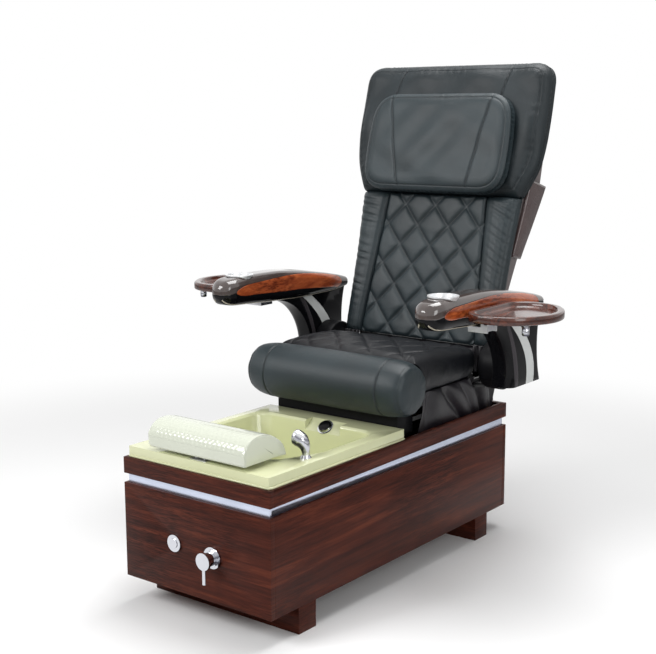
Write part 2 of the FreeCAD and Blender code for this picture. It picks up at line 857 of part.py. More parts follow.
def make_basin():
    """The moulded foot basin: a rim that sits on the band, a tapered bowl and the jet bay."""
    wall = float(size.basin_wall)
    low, high = float(band_top), float(deck)
    rim_x = float(half_width - size.basin_margin)
    rim_front = float(behind_front(size.basin_setback))
    rim_rear = float(behind_front(size.basin_setback + size.basin_length))
    reach = float(size.rim_lip_reach)
    lip_top = low + float(size.rim_lip_height)
    lip = block(point(-rim_x - reach, rim_front - reach, low),
                point(rim_x + reach, rim_rear + reach, lip_top))
    rim = block(point(-rim_x, rim_front, low), point(rim_x, rim_rear, high)).fuse(lip)
    under = block(point(wall - rim_x, rim_front + wall, low - wall),
                  point(rim_x - wall, rim_rear - wall, high - wall))
    taper, floor = float(size.bowl_taper), float(bowl_floor)
    flare = float(size.bowl_flare)
    bowl = Part.makeLoft([bowl_wire(wall - taper, floor - wall), bowl_wire(wall, high - flare)], True, True)
    bowl = bowl.fuse(Part.makeLoft([bowl_wire(wall, high - flare), bowl_wire(wall + flare, high)], True,
                                   True))
    hollow = Part.makeLoft([bowl_wire(-taper, floor), bowl_wire(0, high - flare)], True, True)
    mouth = Part.makeLoft([bowl_wire(0, high - flare), bowl_wire(flare, high)], True, True)
    above = Part.makeLoft([bowl_wire(flare, high), bowl_wire(flare, high + wall)], True, True)
    bay_x = float(size.bay_centre - size.bay_half_width)
    bay_width = 2 * float(size.bay_half_width)
    bay_outer = prism(Part.makePolygon([spot + X_AXIS * (bay_x - wall) for spot in bay_outline(wall)]
                                       + [bay_outline(wall)[0] + X_AXIS * (bay_x - wall)]),
                      X_AXIS * (bay_width + 2 * wall))
    bay_outer = bay_outer.common(block(point(-rim_x, rim_front, floor), point(rim_x, rim_rear, high)))
    bay_inner = prism(Part.makePolygon([spot + X_AXIS * bay_x for spot in bay_outline(0)]
                                       + [bay_outline(0)[0] + X_AXIS * bay_x]), X_AXIS * bay_width)
    basin = rim.cut(under).fuse(bowl).fuse(bay_outer).removeSplitter()
    drain = Part.makeCylinder(float(size.drain_hole_radius), 4 * wall,
                              point(bowl_centre_x, drain_y, bowl_floor - 2 * size.basin_wall))
    spray = Part.makeCylinder(float(size.spray_neck_radius + size.soft_gap), 4 * wall,
                              point(spray_side, behind_front(size.spray_setback),
                                    deck - 2 * size.basin_wall))
    jet = Part.makeCylinder(float(size.jet_neck_radius + size.soft_gap), 4 * wall,
                            jet_spot - bay_normal * 2 * wall, bay_normal)
    basin = basin.cut(hollow).cut(mouth).cut(above).cut(bay_inner).cut(drain).cut(spray).cut(jet)
    node(formed("foot_basin", basin.removeSplitter()), "foot_basin")


drain_y = (bowl_front + bowl_rear) / 2
tube_low = bowl_floor - size.drain_tube_drop


def make_plumbing():
    """Waste fitting, stopper, waste pipe, the two water pipes and the spray hose."""
    tube_r, bore = size.drain_tube_radius, size.drain_bore
    flange_top = bowl_floor + size.drain_flange_thick
    nut_top = bowl_floor - size.basin_wall
    node(turned("drain_fitting", [
        (bore, tube_low), (tube_r, tube_low), (tube_r, nut_top - size.drain_nut_thick),
        (size.drain_nut_radius, nut_top - size.drain_nut_thick), (size.drain_nut_radius, nut_top),
        (tube_r, nut_top), (tube_r, bowl_floor), (size.drain_flange_radius, bowl_floor),
        (size.drain_flange_radius, flange_top), (bore, flange_top),
    ], (bowl_centre_x, drain_y, 0)), "drain_fitting")
    seat_z = flange_top + size.soft_gap
    node(turned("drain_stopper", [
        (0, seat_z - size.stopper_stem_length),
        (size.stopper_stem_radius, seat_z - size.stopper_stem_length),
        (size.stopper_stem_radius, seat_z), (size.stopper_radius, seat_z),
        (size.stopper_radius, seat_z + size.stopper_thick), (0, seat_z + size.stopper_thick),
    ], (bowl_centre_x, drain_y, 0)), "drain_stopper")
    stub_y = rear + size.pipe_stub
    waste_route = [(bowl_centre_x, drain_y, tube_low), (bowl_centre_x, drain_y, size.waste_axis_height),
                   (bowl_centre_x, stub_y, size.waste_axis_height)]
    waste = bent_pipe(waste_route, float(size.waste_bend), float(size.waste_radius), float(size.waste_bore))
    end_length = float(size.pipe_stub - size.pipe_gap)
    end_spot = point(bowl_centre_x, rear + size.pipe_gap, size.waste_axis_height)
    socket = Part.makeCylinder(float(size.waste_end_radius), end_length, end_spot, Y_AXIS)
    socket = socket.cut(Part.makeCylinder(float(size.waste_bore), end_length, end_spot, Y_AXIS))
    mouth = Part.makeCylinder(float(size.waste_socket_radius), end_length,
                              point(bowl_centre_x, stub_y - size.waste_socket_depth,
                                    size.waste_axis_height), Y_AXIS)
    node(formed("waste_pipe", waste.fuse(socket).cut(mouth).removeSplitter()), "waste_pipe")
    row_y = behind_front(size.pipe_row_setback)
    pipes = []
    for way in (-1, 1):
        side = pipe_side * way
        port = size.mixer_side + size.mixer_port_spacing / 2 * way
        route = [(side, stub_y, size.pipe_axis_height), (side, row_y, size.pipe_axis_height),
                 (port, row_y, size.pipe_axis_height),
                 (port, row_y, size.mixer_height - size.mixer_port_drop)]
        thread = Part.makeCylinder(float(size.pipe_end_radius), end_length,
                                   point(side, rear + size.pipe_gap, size.pipe_axis_height), Y_AXIS)
        pipes.append(bent_pipe(route, float(size.pipe_bend),
                               float(size.pipe_radius)).fuse(thread).removeSplitter())
    node(formed("water_pipes", Part.makeCompound(pipes)), "water_pipes")
    spray_y = behind_front(size.spray_setback)
    run_z = deck - size.hose_drop
    hose_route = [(size.mixer_side, row_y, size.mixer_height + size.mixer_port_drop),
                  (size.mixer_side, row_y, run_z), (spray_side, row_y, run_z),
                  (spray_side, spray_y, run_z), (spray_side, spray_y, deck - size.spray_neck_length)]
    node(formed("sprayer_hose", bent_pipe(hose_route, float(size.hose_bend), float(size.hose_radius))),
         "sprayer_hose")


def make_mixer():
    """The mixer valve, its turning handle and the air button on the front panel."""
    centre = (size.mixer_side, front, size.mixer_height)
    neck_end = size.board + size.soft_gap
    plate = -size.mixer_plate_thick
    collar = plate - size.mixer_collar_thick
    body_end = neck_end + size.mixer_body_length
    turned_valve = turned("mixer_turning", [
        (0, collar), (size.mixer_collar_radius, collar), (size.mixer_collar_radius, plate),
        (size.mixer_plate_radius, plate), (size.mixer_plate_radius, 0),
        (size.mixer_neck_radius, 0), (size.mixer_neck_radius, neck_end),
        (size.mixer_body_radius, neck_end), (size.mixer_body_radius, body_end), (0, body_end),
    ], centre, turn=FreeCAD.Rotation(X_AXIS, -90))
    row_y = behind_front(size.pipe_row_setback)
    ports = [rod("mixer_port_%d" % index, size.mixer_port_radius, size.mixer_port_drop,
                 (size.mixer_side + size.mixer_port_spacing / 2 * way, row_y,
                  size.mixer_height - size.mixer_port_drop)) for index, way in enumerate((-1, 1))]
    outlet = rod("mixer_outlet", size.mixer_port_radius, size.mixer_port_drop,
                 (size.mixer_side, row_y, size.mixer_height))
    node(joined("mixer_valve", [turned_valve] + ports + [outlet]), "mixer_valve")
    barrel_start = front + collar - size.soft_gap
    cap_start = barrel_start - size.mixer_barrel_length
    cap_end = cap_start - size.mixer_cap_thick
    barrel = rod("mixer_barrel", size.mixer_barrel_radius, size.mixer_barrel_length,
                 (size.mixer_side, cap_start, size.mixer_height), "back")
    cap = rod("mixer_cap", size.mixer_cap_radius, size.mixer_cap_thick,
              (size.mixer_side, cap_end, size.mixer_height), "back")
    lever = rod("mixer_lever", size.mixer_lever_radius, size.mixer_lever_length,
                (size.mixer_side, cap_end + size.mixer_cap_thick / 2 + size.mixer_lever_offset,
                 size.mixer_height - size.mixer_lever_length))
    node(joined("mixer_handle", [barrel, cap, lever]), "mixer_handle")
    button_at = (-size.button_side, front, size.button_height)
    hole = size.button_radius + size.soft_gap
    node(turned("button_bezel", [
        (hole, -size.bezel_thick), (size.bezel_radius, -size.bezel_thick), (size.bezel_radius, 0),
        (size.bezel_neck_radius, 0), (size.bezel_neck_radius, size.bezel_neck_length),
        (0, size.bezel_neck_length), (0, size.bezel_neck_length - size.bezel_floor),
        (hole, size.bezel_neck_length - size.bezel_floor),
    ], button_at, turn=FreeCAD.Rotation(X_AXIS, -90)), "button_bezel")
    node(rod("air_button", size.button_radius, size.button_length,
             (-size.button_side, front - size.bezel_thick - size.button_proud, size.button_height), "back"),
         "air_button")


def make_sprayer():
    """The pull-out spray head in its collar on the basin's deck."""
    spot = (spray_side, behind_front(size.spray_setback), deck)
    node(turned("sprayer_collar", [
        (size.spray_bore, -size.spray_socket_depth), (size.spray_bore, size.spray_collar_height),
        (size.spray_collar_radius * 3 / 4, size.spray_collar_height), (size.spray_collar_radius, 0),
        (size.spray_neck_radius, 0), (size.spray_neck_radius, -size.spray_neck_length),
        (0, -size.spray_neck_length), (0, -size.spray_socket_depth),
    ], spot), "sprayer_collar")
    base = point(*spot)
    stem_low = base - Z_AXIS * float(size.spray_socket_depth - size.soft_gap)
    stem = Part.makeCylinder(float(size.spray_stem_radius), float(size.spray_stem_rise), stem_low)
    shoulder = base + Z_AXIS * float(size.spray_collar_height + size.soft_gap)
    lean = point(-size.spray_head_lean, -size.spray_head_lean / 3, size.spray_head_rise)
    head_centre = shoulder + lean
    neck = Part.makeCone(float(size.spray_collar_radius) * 3 / 4, float(size.spray_head_radius) * 0.97,
                         lean.Length, shoulder, lean)
    above = block(point(spot[0] - 2 * size.spray_head_radius, spot[1] - 2 * size.spray_head_radius,
                        shoulder.z),
                  point(spot[0] + 2 * size.spray_head_radius, spot[1] + 2 * size.spray_head_radius,
                        shoulder.z + 2 * lean.Length))
    ball = Part.makeSphere(float(size.spray_head_radius), head_centre)
    node(formed("sprayer_head", neck.fuse(ball).common(above).fuse(stem).removeSplitter()), "sprayer_head")


def make_jet():
    """The whirlpool jet: a capped impeller on the slope of the bay, with its motor behind the wall."""
    wall = float(size.basin_wall)
    thick = float(size.jet_cover_thick)
    radius = float(size.jet_cover_radius)
    dome = Part.makeCone(radius, radius * 0.8, thick)
    chamber = Part.makeCylinder(float(size.impeller_radius) * 1.1, thick * 0.72)
    rim = Part.makeCylinder(radius * 1.1, float(size.jet_rim_thick))
    cover = dome.fuse(rim).cut(chamber).removeSplitter()
    slot = Part.makeBox(radius, radius / 8, thick)
    for index in range(3):
        slit = slot.copy()
        slit.translate(point(-radius / 2, (index - 1) * radius / 3.2 - radius / 16, thick * 0.5))
        cover = cover.cut(slit)
    seat = FreeCAD.Placement(jet_spot, jet_turn)
    node(formed("jet_cover", cover, seat), "jet_cover")
    hub = Part.makeCylinder(float(size.impeller_radius) / 3, float(size.impeller_thick),
                            point(0, 0, size.impeller_lift))
    blades = hub
    for index in range(5):
        blade = Part.makeBox(float(size.impeller_radius) * 0.95, float(size.impeller_thick) / 3,
                             float(size.impeller_thick), point(0, 0, size.impeller_lift))
        blade.rotate(point(0, 0, 0), Z_AXIS, 72 * index)
        blades = blades.fuse(blade)
    node(formed("jet_impeller", blades.removeSplitter(), seat), "jet_impeller")
    reach = wall * math.cos(bay_slope) + float(size.soft_gap)
    neck = Part.makeCylinder(float(size.jet_neck_radius), reach, Z_AXIS * -reach)
    can = Part.makeCylinder(float(size.jet_motor_radius), float(size.jet_motor_length),
                            Z_AXIS * -(reach + float(size.jet_motor_length)))
    node(formed("jet_motor", neck.fuse(can).removeSplitter(), seat), "jet_motor")


def footrest_wire(shrink, x):
    """Section of the footrest: a flat underside and a rounded back, drawn in by a wall."""
    depth, height = float(size.footrest_depth), float(size.footrest_height)
    y0, z0 = float(behind_front(size.footrest_setback)), float(size.footrest_low)
    corners = [(y0 + depth * y, z0 + height * z) for y, z in FOOTREST_SHARES]
    corners = inset(corners[::-1], shrink)[::-1]
    spots = [FreeCAD.Vector(x, y, z) for y, z in corners]
    edges = [line(spots[0], spots[1]), arc(spots[1], spots[2], spots[3]), arc(spots[3], spots[4], spots[5]),
             arc(spots[5], spots[6], spots[7]), line(spots[7], spots[0])]
    return Part.Wire(edges)


def make_footrest():
    """The rounded footrest bar with its hinge on the basin's front deck."""
    half, wall = float(size.footrest_half_length), float(size.footrest_wall)
    rib = float(size.footrest_rib_half)
    bar = prism(footrest_wire(0, -half), X_AXIS * 2 * half)
    span = half - wall - rib
    for start in (-half + wall, rib):
        core = prism(footrest_wire(wall, start), X_AXIS * span)
        below = core.copy()
        below.translate(Z_AXIS * -2 * wall)
        bar = bar.cut(core).cut(below)
    axis_y, axis_z = behind_front(size.footrest_hinge_setback), size.footrest_hinge_height
    lug_half = float(size.hinge_lug_half)
    lug = Part.makeCylinder(float(size.hinge_lug_radius), 2 * lug_half, point(-lug_half, axis_y, axis_z),
                            X_AXIS)
    stalk = block(point(-lug_half, axis_y - size.hinge_lug_radius, axis_z),
                  point(lug_half, axis_y + size.hinge_lug_radius, axis_z + 2 * size.hinge_lug_radius))
    bore = Part.makeCylinder(float(size.hinge_pin_radius) * 1.015, 2 * half, point(-half, axis_y, axis_z),
                             X_AXIS)
    room = Part.makeCylinder(float(size.hinge_lug_radius) * 1.15, 2 * half, point(-half, axis_y, axis_z),
                             X_AXIS)
    bar = bar.cut(room).fuse(lug.fuse(stalk)).cut(bore).removeSplitter()
    node(formed("footrest", bar), "footrest")
    plate_top = deck + size.hinge_plate_thick
    ear_in = size.hinge_lug_half + size.soft_gap
    ear_out = ear_in + size.hinge_ear_thick
    plate = board("hinge_plate", (-size.hinge_plate_half, size.hinge_plate_half),
                  (axis_y - size.hinge_plate_depth / 2, axis_y + size.hinge_plate_depth / 2),
                  (deck, plate_top))
    ear_y = (axis_y - size.hinge_lug_radius, axis_y + size.hinge_lug_radius)
    ears = [board("hinge_ear_%d" % index, span_x, ear_y, (deck, axis_z + size.hinge_pin_radius))
            for index, span_x in enumerate(((-ear_out, -ear_in), (ear_in, ear_out)))]
    pin = rod("hinge_pin", size.hinge_pin_radius, 2 * ear_out, (-ear_out, axis_y, axis_z), "right")
    hinge = joined("footrest_hinge", [plate] + ears + [pin])
    pad_y = behind_front(size.pad_setback)
    pads = [board("rubber_pad_%d" % index, (size.pad_side * way - size.pad_width / 2,
                                            size.pad_side * way + size.pad_width / 2),
                  (pad_y, pad_y + size.pad_depth), (deck, deck + size.pad_height))
            for index, way in enumerate((-1, 1))]
    node(group("footrest_bracket", [hinge] + pads), "footrest_bracket")


rail_y = (behind_front(size.rail_start), behind_front(size.rail_end))
rail_top = size.cross_top + size.rail_height
cross_low = size.cross_top - size.cross_height
runner_low = size.cross_top + size.rail_wall + size.runner_gap
runner_top = runner_low + size.runner_height


def make_slide_frame():
    """Cross-members in the cabinet, the slide rails on them, the black apron and the slide motor."""
    core_in = inner_half - size.board
    pieces = []
    for name, setback in (("front", size.cross_front_setback), ("rear", size.cross_rear_setback)):
        y0 = behind_front(setback)
        pieces.append(board("cross_" + name, (-core_in, core_in), (y0, y0 + size.cross_depth),
                            (cross_low, size.cross_top)))
    front_y = behind_front(size.cross_front_setback)
    for way in (-1, 1):
        middle = rail_side * way
        rail = board("rail_%d" % (way + 1), (middle - size.rail_width / 2, middle + size.rail_width / 2),
                     (front_y, rail_y[1]), (size.cross_top, rail_top))
        inside = size.rail_width / 2 - size.rail_wall
        slot = board("rail_slot_%d" % (way + 1), (middle - inside, middle + inside),
                     (rail_y[0] - size.runner_width, rail_y[1] + size.overrun),
                     (size.cross_top + size.rail_wall, rail_top + size.overrun))
        pieces.append(cut("slide_rail_%d" % (way + 1), rail, [slot]))
    node(joined("slide_frame", pieces), "slide_frame")
    apron_x, thick = half_width - size.apron_margin, size.apron_thick
    rise = (rail_top, size.apron_top)
    face = board("apron_face", (-apron_x, apron_x), (front_y, front_y + thick),
                 (size.cross_top, size.apron_top))
    sides = [board("apron_side_%d" % index, span_x, (front_y, front_y + size.apron_depth), rise)
             for index, span_x in enumerate(((-apron_x, thick - apron_x), (apron_x - thick, apron_x)))]
    rail_room = [board("apron_room_%d" % index, (rail_side * way - size.rail_width / 2,
                                                rail_side * way + size.rail_width / 2),
                       (front_y - size.overrun, front_y + thick + size.overrun),
                       (size.cross_top - size.overrun, rail_top)) for index, way in enumerate((-1, 1))]
    node(cut("apron", joined("apron_boards", [face] + sides), rail_room), "apron")
    barrel_y = front_y + size.cross_depth
    barrel = rod("slide_barrel", size.slide_motor_radius, size.slide_motor_length,
                 (size.slide_motor_side, barrel_y, size.slide_rod_height), "back")
    bore = rod("slide_bore", size.slide_rod_radius + size.soft_gap / 3, size.slide_motor_length,
               (size.slide_motor_side, barrel_y + size.overrun, size.slide_rod_height), "back")
    node(cut("slide_motor", barrel, [bore]), "slide_motor")
    node(make_control_box(), "control_box")


def make_control_box():
    """The control box on the bottom panel, with its mains inlet in the back panel's cut-out."""
    floor = size.plinth_height + size.board
    side = size.control_side
    box = board("control_case", (side - size.control_width / 2, side + size.control_width / 2),
                (rear - size.board - size.control_length, rear - size.board),
                (size.control_low, size.control_low + size.control_height))
    foot = board("control_foot", (side - size.control_width / 4, side + size.control_width / 4),
                 (rear - size.board - size.control_length / 2, rear - size.board), (floor, size.control_low))
    nose = board("inlet_body", inlet_span(size.inlet_width + 2 * size.inlet_wall),
                 (rear - size.board, rear + size.inlet_wall / 2),
                 inlet_rise(size.inlet_height + 2 * size.inlet_wall))
    socket = board("inlet_socket", inlet_span(size.inlet_width),
                   (rear + size.inlet_wall / 2 - size.inlet_recess, rear + size.overrun),
                   inlet_rise(size.inlet_height))
    return cut("control_box", joined("control_body", [box, foot, nose]), [socket])


hinge_y = behind_front(size.hinge_setback)
back_place = FreeCAD.Placement(point(0, hinge_y, size.hinge_height),
                               FreeCAD.Rotation(X_AXIS, -float(size.back_angle)))


def make_seat_frame():
    """The welded seat frame: runners, posts, braces, rails, rear hoop and the recline ears."""
    half_runner = size.runner_width / 2
    pieces = []
    for way in (-1, 1):
        middle = rail_side * way
        tag = "left" if way < 0 else "right"
        span = (middle - half_runner, middle + half_runner)
        pieces.append(board("runner_" + tag, span,
                            (behind_front(size.runner_start), behind_front(size.runner_end)),
                            (runner_low, runner_top)))
        for name, setback in (("front", size.post_front_setback), ("rear", size.post_rear_setback)):
            y0 = behind_front(setback)
            pieces.append(board("post_%s_%s" % (name, tag), span,
                                (y0 - size.post_width / 2, y0 + size.post_width / 2),
                                (runner_top, size.seat_rail_low)))
        pieces.append(board("seat_rail_" + tag, span,
                            (behind_front(size.seat_rail_start), behind_front(size.seat_rail_end)),
                            (size.seat_rail_low, size.seat_rail_top)))
        pieces.append(board("hoop_" + tag, ordered(hoop_half * way,
                                                   (hoop_half - size.hoop_width) * way),
                            (behind_front(size.pan_end), behind_front(size.hoop_rear_setback)),
                            (size.hoop_low, size.hoop_top)))
        pieces.append(board("hoop_stay_" + tag, ordered(hoop_half * way,
                                                        (rail_side + half_runner) * way),
                            (behind_front(size.pan_end), behind_front(size.pan_end) + size.hoop_width),
                            (size.hoop_low, size.seat_rail_top)))
        ear_in = size.hinge_side - size.recline_ear_thick / 2
        ear_out = size.hinge_side + size.recline_ear_thick / 2
        pieces.append(board("recline_ear_" + tag, ordered(ear_in * way, ear_out * way),
                            (hinge_y - size.recline_ear_radius, hinge_y + size.recline_ear_radius),
                            (size.seat_rail_low, size.hinge_height)))
        pieces.append(rod("recline_ear_eye_" + tag, size.recline_ear_radius, size.recline_ear_thick,
                          (ordered(ear_in * way, ear_out * way)[0], hinge_y, size.hinge_height), "right"))
        pieces.append(board("recline_foot_" + tag, ordered((rail_side + half_runner) * way, ear_out * way),
                            (hinge_y - size.recline_ear_radius, behind_front(size.seat_rail_end)),
                            (size.seat_rail_low, size.seat_rail_top)))
        pin_in = ear_out * way
        pin_out = (ear_out + size.recline_pin_length) * way
        pieces.append(rod("recline_pin_" + tag, size.recline_pin_radius, size.recline_pin_length,
                          (ordered(pin_in, pin_out)[0], hinge_y, size.hinge_height), "right"))
    inner = rail_side - half_runner
    for name, setback in (("front", size.post_front_setback), ("rear", size.post_rear_setback)):
        y0 = behind_front(setback)
        pieces.append(board("brace_" + name, (-inner, inner),
                            (y0 - size.post_width / 2, y0 + size.post_width / 2),
                            (size.brace_low, size.brace_low + size.post_width)))
    pieces.append(board("hoop_rear", (-hoop_half, hoop_half),
                        (behind_front(size.hoop_rear_setback) - size.hoop_width,
                         behind_front(size.hoop_rear_setback)), (size.hoop_low, size.hoop_top)))
    rear_y = behind_front(size.post_rear_setback)
    tab_x = (size.slide_motor_side - half_runner / 2, size.slide_motor_side + half_runner / 2)
    pieces.append(board("slide_tab", tab_x, (rear_y - size.post_width / 2, rear_y),
                        (size.slide_rod_height - size.slide_motor_radius, size.brace_low)))
    rod_y = behind_front(size.slide_rod_start)
    pieces.append(rod("slide_rod", size.slide_rod_radius, rear_y - rod_y,
                      (size.slide_motor_side, rod_y, size.slide_rod_height), "back"))
    node(joined("seat_frame", pieces), "seat_frame")


def ordered(first, second):
    """Two lengths, the lower one first."""
    return (first, second) if float(first) < float(second) else (second, first)


def make_seat_pan():
    """The plywood pan, turned down at the front to carry the roll."""
    start, end = behind_front(size.pan_start), behind_front(size.pan_end)
    top = size.seat_rail_top + size.pan_thick
    node(padded("seat_pan", "YZ_Plane", [
        (start, size.upstand_low), (start + size.upstand_thick, size.upstand_low),
        (start + size.upstand_thick, size.seat_rail_top), (end, size.seat_rail_top), (end, top),
        (start + size.upstand_thick, top), (start + size.upstand_thick, size.upstand_top),
        (start, size.upstand_top),
    ], 2 * (hoop_half - size.soft_gap), (0, 0, 0)), "seat_pan")


def make_arm_carriers():
    """The two brackets that carry the arms beside the seat, each with its pivot shaft."""
    start = behind_front(size.carrier_start)
    y_span = (start, start + size.carrier_depth)
    rail_out = rail_side + size.runner_width / 2
    carriers = []
    for way in (-1, 1):
        tag = "left" if way < 0 else "right"
        bar = board("carrier_bar_" + tag, ordered(rail_out * way, size.carrier_plate_out * way), y_span,
                    (size.carrier_bar_low, size.carrier_bar_top))
        plate_in = size.carrier_plate_out - size.carrier_plate_thick
        plate = board("carrier_plate_" + tag, ordered(plate_in * way, size.carrier_plate_out * way), y_span,
                      (size.carrier_bar_low, size.carrier_plate_top))
        ends = ordered(plate_in * way, (size.leg_inner + size.arm_shaft_depth) * way)
        shaft = rod("carrier_shaft_" + tag, size.arm_shaft_radius, ends[1] - ends[0],
                    (ends[0], start + size.carrier_depth / 2, size.arm_pivot_height), "right")
        carriers.append(joined("carrier_" + tag, [bar, plate, shaft]))
    node(group("arm_carriers", carriers), "arm_carriers")


def make_recline_motor():
    """The recline motor's barrel on the front brace, and its rod with a fork round the back's lever."""
    y0 = behind_front(size.motor_start)
    rod_y = behind_front(size.motor_rod_start)
    barrel = rod("recline_barrel", size.motor_radius, size.motor_length, (0, y0, motor_height), "back")
    foot = board("recline_foot", (-size.motor_radius / 2, size.motor_radius / 2),
                 (y0, y0 + size.motor_bore_start - size.overrun),
                 (size.brace_low + size.post_width, motor_height))
    bore = rod("recline_bore", size.motor_rod_radius + size.soft_gap / 3, size.motor_length,
               (0, y0 + size.motor_bore_start, motor_height), "back")
    node(cut("recline_motor", joined("recline_case", [barrel, foot]), [bore]), "recline_motor")
    eye_y = hinge_y + size.lever_reach
    eye = (eye_y, motor_height)
    cheek_out = size.fork_gap + size.fork_thick
    neck_y = eye_y - size.fork_radius - size.fork_thick
    shaft = rod("recline_shaft", size.motor_rod_radius, neck_y - rod_y, (0, rod_y, motor_height), "back")
    yoke = board("recline_yoke", (-cheek_out, cheek_out), (neck_y, neck_y + size.fork_thick),
                 (motor_height - size.motor_rod_radius, motor_height + size.motor_rod_radius))
    pieces = [shaft, yoke]
    for index, start in enumerate((-cheek_out, size.fork_gap)):
        pieces.append(board("cheek_bar_%d" % index, (start, start + size.fork_thick), (neck_y, eye_y),
                            (motor_height - size.motor_rod_radius, motor_height + size.motor_rod_radius)))
        pieces.append(rod("cheek_%d" % index, size.fork_radius, size.fork_thick, (start, *eye), "right"))
    hole = rod("fork_hole", size.fork_bore, 2 * cheek_out + 2 * size.overrun,
               (-cheek_out - size.overrun, *eye),
               "right")
    node(cut("recline_rod", joined("recline_fork", pieces), [hole]), "recline_rod")


seat_y0 = behind_front(size.seat_start)
roll_y = behind_front(size.roll_setback)


def seat_wire(share, crown_share, side_share):
    """A cross-section of the seat cushion: flat below, full at the sides, crowned on top."""
    y = float(seat_y0) + float(size.seat_end - size.seat_start) * share
    half, low = float(size.seat_half_width), float(seat_low)
    side = low + (float(size.seat_side_top) - low) * side_share
    crown = low + (float(size.seat_top) - low) * crown_share
    shoulder = crown - (crown - side) * 0.16

    def spot(x, z):
        return FreeCAD.Vector(x * half, y, z)

    return Part.Wire([
        line(spot(-0.9, low), spot(0.9, low)),
        arc(spot(0.9, low), spot(0.985, low + (side - low) * 0.3), spot(0.985, side)),
        arc(spot(0.985, side), spot(0.93, side + (shoulder - side) * 0.7), spot(0.8, shoulder)),
        arc(spot(0.8, shoulder), spot(0, crown), spot(-0.8, shoulder)),
        arc(spot(-0.8, shoulder), spot(-0.93, side + (shoulder - side) * 0.7), spot(-0.985, side)),
        arc(spot(-0.985, side), spot(-0.985, low + (side - low) * 0.3), spot(-0.9, low)),
    ])


def groove_lines(half_across, low, high):
    """Crossing lines of the sewn diamonds over a region: a middle point and a turn for each."""
    width, height = float(size.diamond_width), float(size.diamond_height)
    turn = math.degrees(math.atan2(height, width))
    middle = (low + high) / 2
    reach = math.ceil((half_across / width) + (high - low) / (2 * height)) + 1
    return [(width * (step + 0.5), middle, way * turn) for way in (-1, 1) for step in range(-reach, reach)]


def diamond_grooves(half_across, low, high, place):
    """V-shaped cutters along the diamonds' seams, in the plane of a quilted face."""
    half, depth = float(size.groove_width) / 2, float(size.groove_depth)
    length = 2 * (half_across + high - low)
    over = depth / 2
    wire = Part.makePolygon([FreeCAD.Vector(-length / 2, -half * 1.5, over),
                             FreeCAD.Vector(-length / 2, 0, -depth),
                             FreeCAD.Vector(-length / 2, half * 1.5, over),
                             FreeCAD.Vector(-length / 2, -half * 1.5, over)])
    cutter = prism(wire, X_AXIS * length)
    field = Part.makeBox(2 * half_across, high - low, 2 * depth,
                         FreeCAD.Vector(-half_across, low, -depth * 1.5))
    cutters = []
    for x, y, turn in groove_lines(half_across, low, high):
        bar = cutter.copy()
        bar.Placement = FreeCAD.Placement(FreeCAD.Vector(x, y, 0), FreeCAD.Rotation(Z_AXIS, turn))
        bar = bar.common(field)
        if bar.Volume > depth:
            cutters.append(bar.Solids[0])
    for bar in cutters:
        bar.Placement = place.multiply(bar.Placement)
    return cutters


def make_seat_cushions():
    """The front roll, and the quilted seat cushion that fits round the back of it."""
    radius = float(size.roll_radius)
    seam, groove = float(size.roll_seam_side), float(size.roll_seam_width)
    free = float(size.roll_half_length) - seam - groove / 2
    dip = radius - float(size.roll_seam_depth)
    half = [(seam - groove / 2, radius * 0.995), (seam, dip), (seam + groove / 2, radius * 0.992)]
    half += [(seam + groove / 2 + free * x, radius * r) for x, r in ROLL_END_SHARES]
    right = [FreeCAD.Vector(x, r, 0) for x, r in half]
    left = [FreeCAD.Vector(-x, r, 0) for x, r in half[::-1]]
    crown = FreeCAD.Vector(0, radius, 0)
    edges = [line(left[0], left[1])]
    edges += [line(here, there) for here, there in zip(left[1:], left[2:])]
    edges.append(arc(left[-1], crown, right[0]))
    edges += [line(here, there) for here, there in zip(right, right[1:])]
    edges.append(line(right[-1], left[0]))
    roll = Part.Face(Part.Wire(edges)).revolve(point(0, 0, 0), X_AXIS, 360)
    roll.translate(point(0, roll_y, size.roll_height))
    gap = float(size.soft_gap)
    pan_y, wide = float(behind_front(size.pan_start)), 2 * float(size.seat_half_width)
    board_room = block(point(-wide, pan_y - gap, 0), point(wide, pan_y + radius, size.upstand_top + gap))
    node(formed("seat_roll", roll.cut(board_room).removeSplitter()), "seat_roll")
    cushion = Part.makeLoft([seat_wire(*shares) for shares in SEAT_SHARES], True, True)
    roll_room = Part.makeCylinder(radius + gap, 2 * wide, point(-wide, roll_y, size.roll_height), X_AXIS)
    pan_room = block(point(-wide, pan_y - radius, 0),
                     point(wide, pan_y + float(size.upstand_thick) + gap, size.upstand_top + gap))
    cushion = cushion.cut(roll_room).cut(pan_room)
    field_low = float(seat_y0) + float(size.groove_width)
    field_high = float(behind_front(size.seat_end))
    lift = FreeCAD.Placement(point(0, 0, size.seat_groove_floor + size.groove_depth), FreeCAD.Rotation())
    cutters = diamond_grooves(0.8 * float(size.seat_half_width), field_low, field_high, lift)
    cushion = cushion.cut(Part.makeCompound(cutters)).removeSplitter()
    node(formed("seat_cushion", cushion), "seat_cushion")


def fold_wire(start, end, side, fold, z, count):
    """A hanging cloth's section at a height: a band of even thickness in shallow waves."""
    thick = float(size.skirt_thick)
    step = (end - start) / count
    outer, inner = [], []
    for index in range(count):
        y0 = start + index * step
        swing = fold if index % 2 else -fold
        for edges, x in ((outer, side + thick), (inner, side)):
            edges.append(arc(FreeCAD.Vector(x, y0, z), FreeCAD.Vector(x + swing, y0 + step / 2, z),
                             FreeCAD.Vector(x, y0 + step, z)))
    far = line(FreeCAD.Vector(side + thick, end, z), FreeCAD.Vector(side, end, z))
    near = line(FreeCAD.Vector(side, start, z), FreeCAD.Vector(side + thick, start, z))
    return Part.Wire(outer + [far] + inner[::-1] + [near])


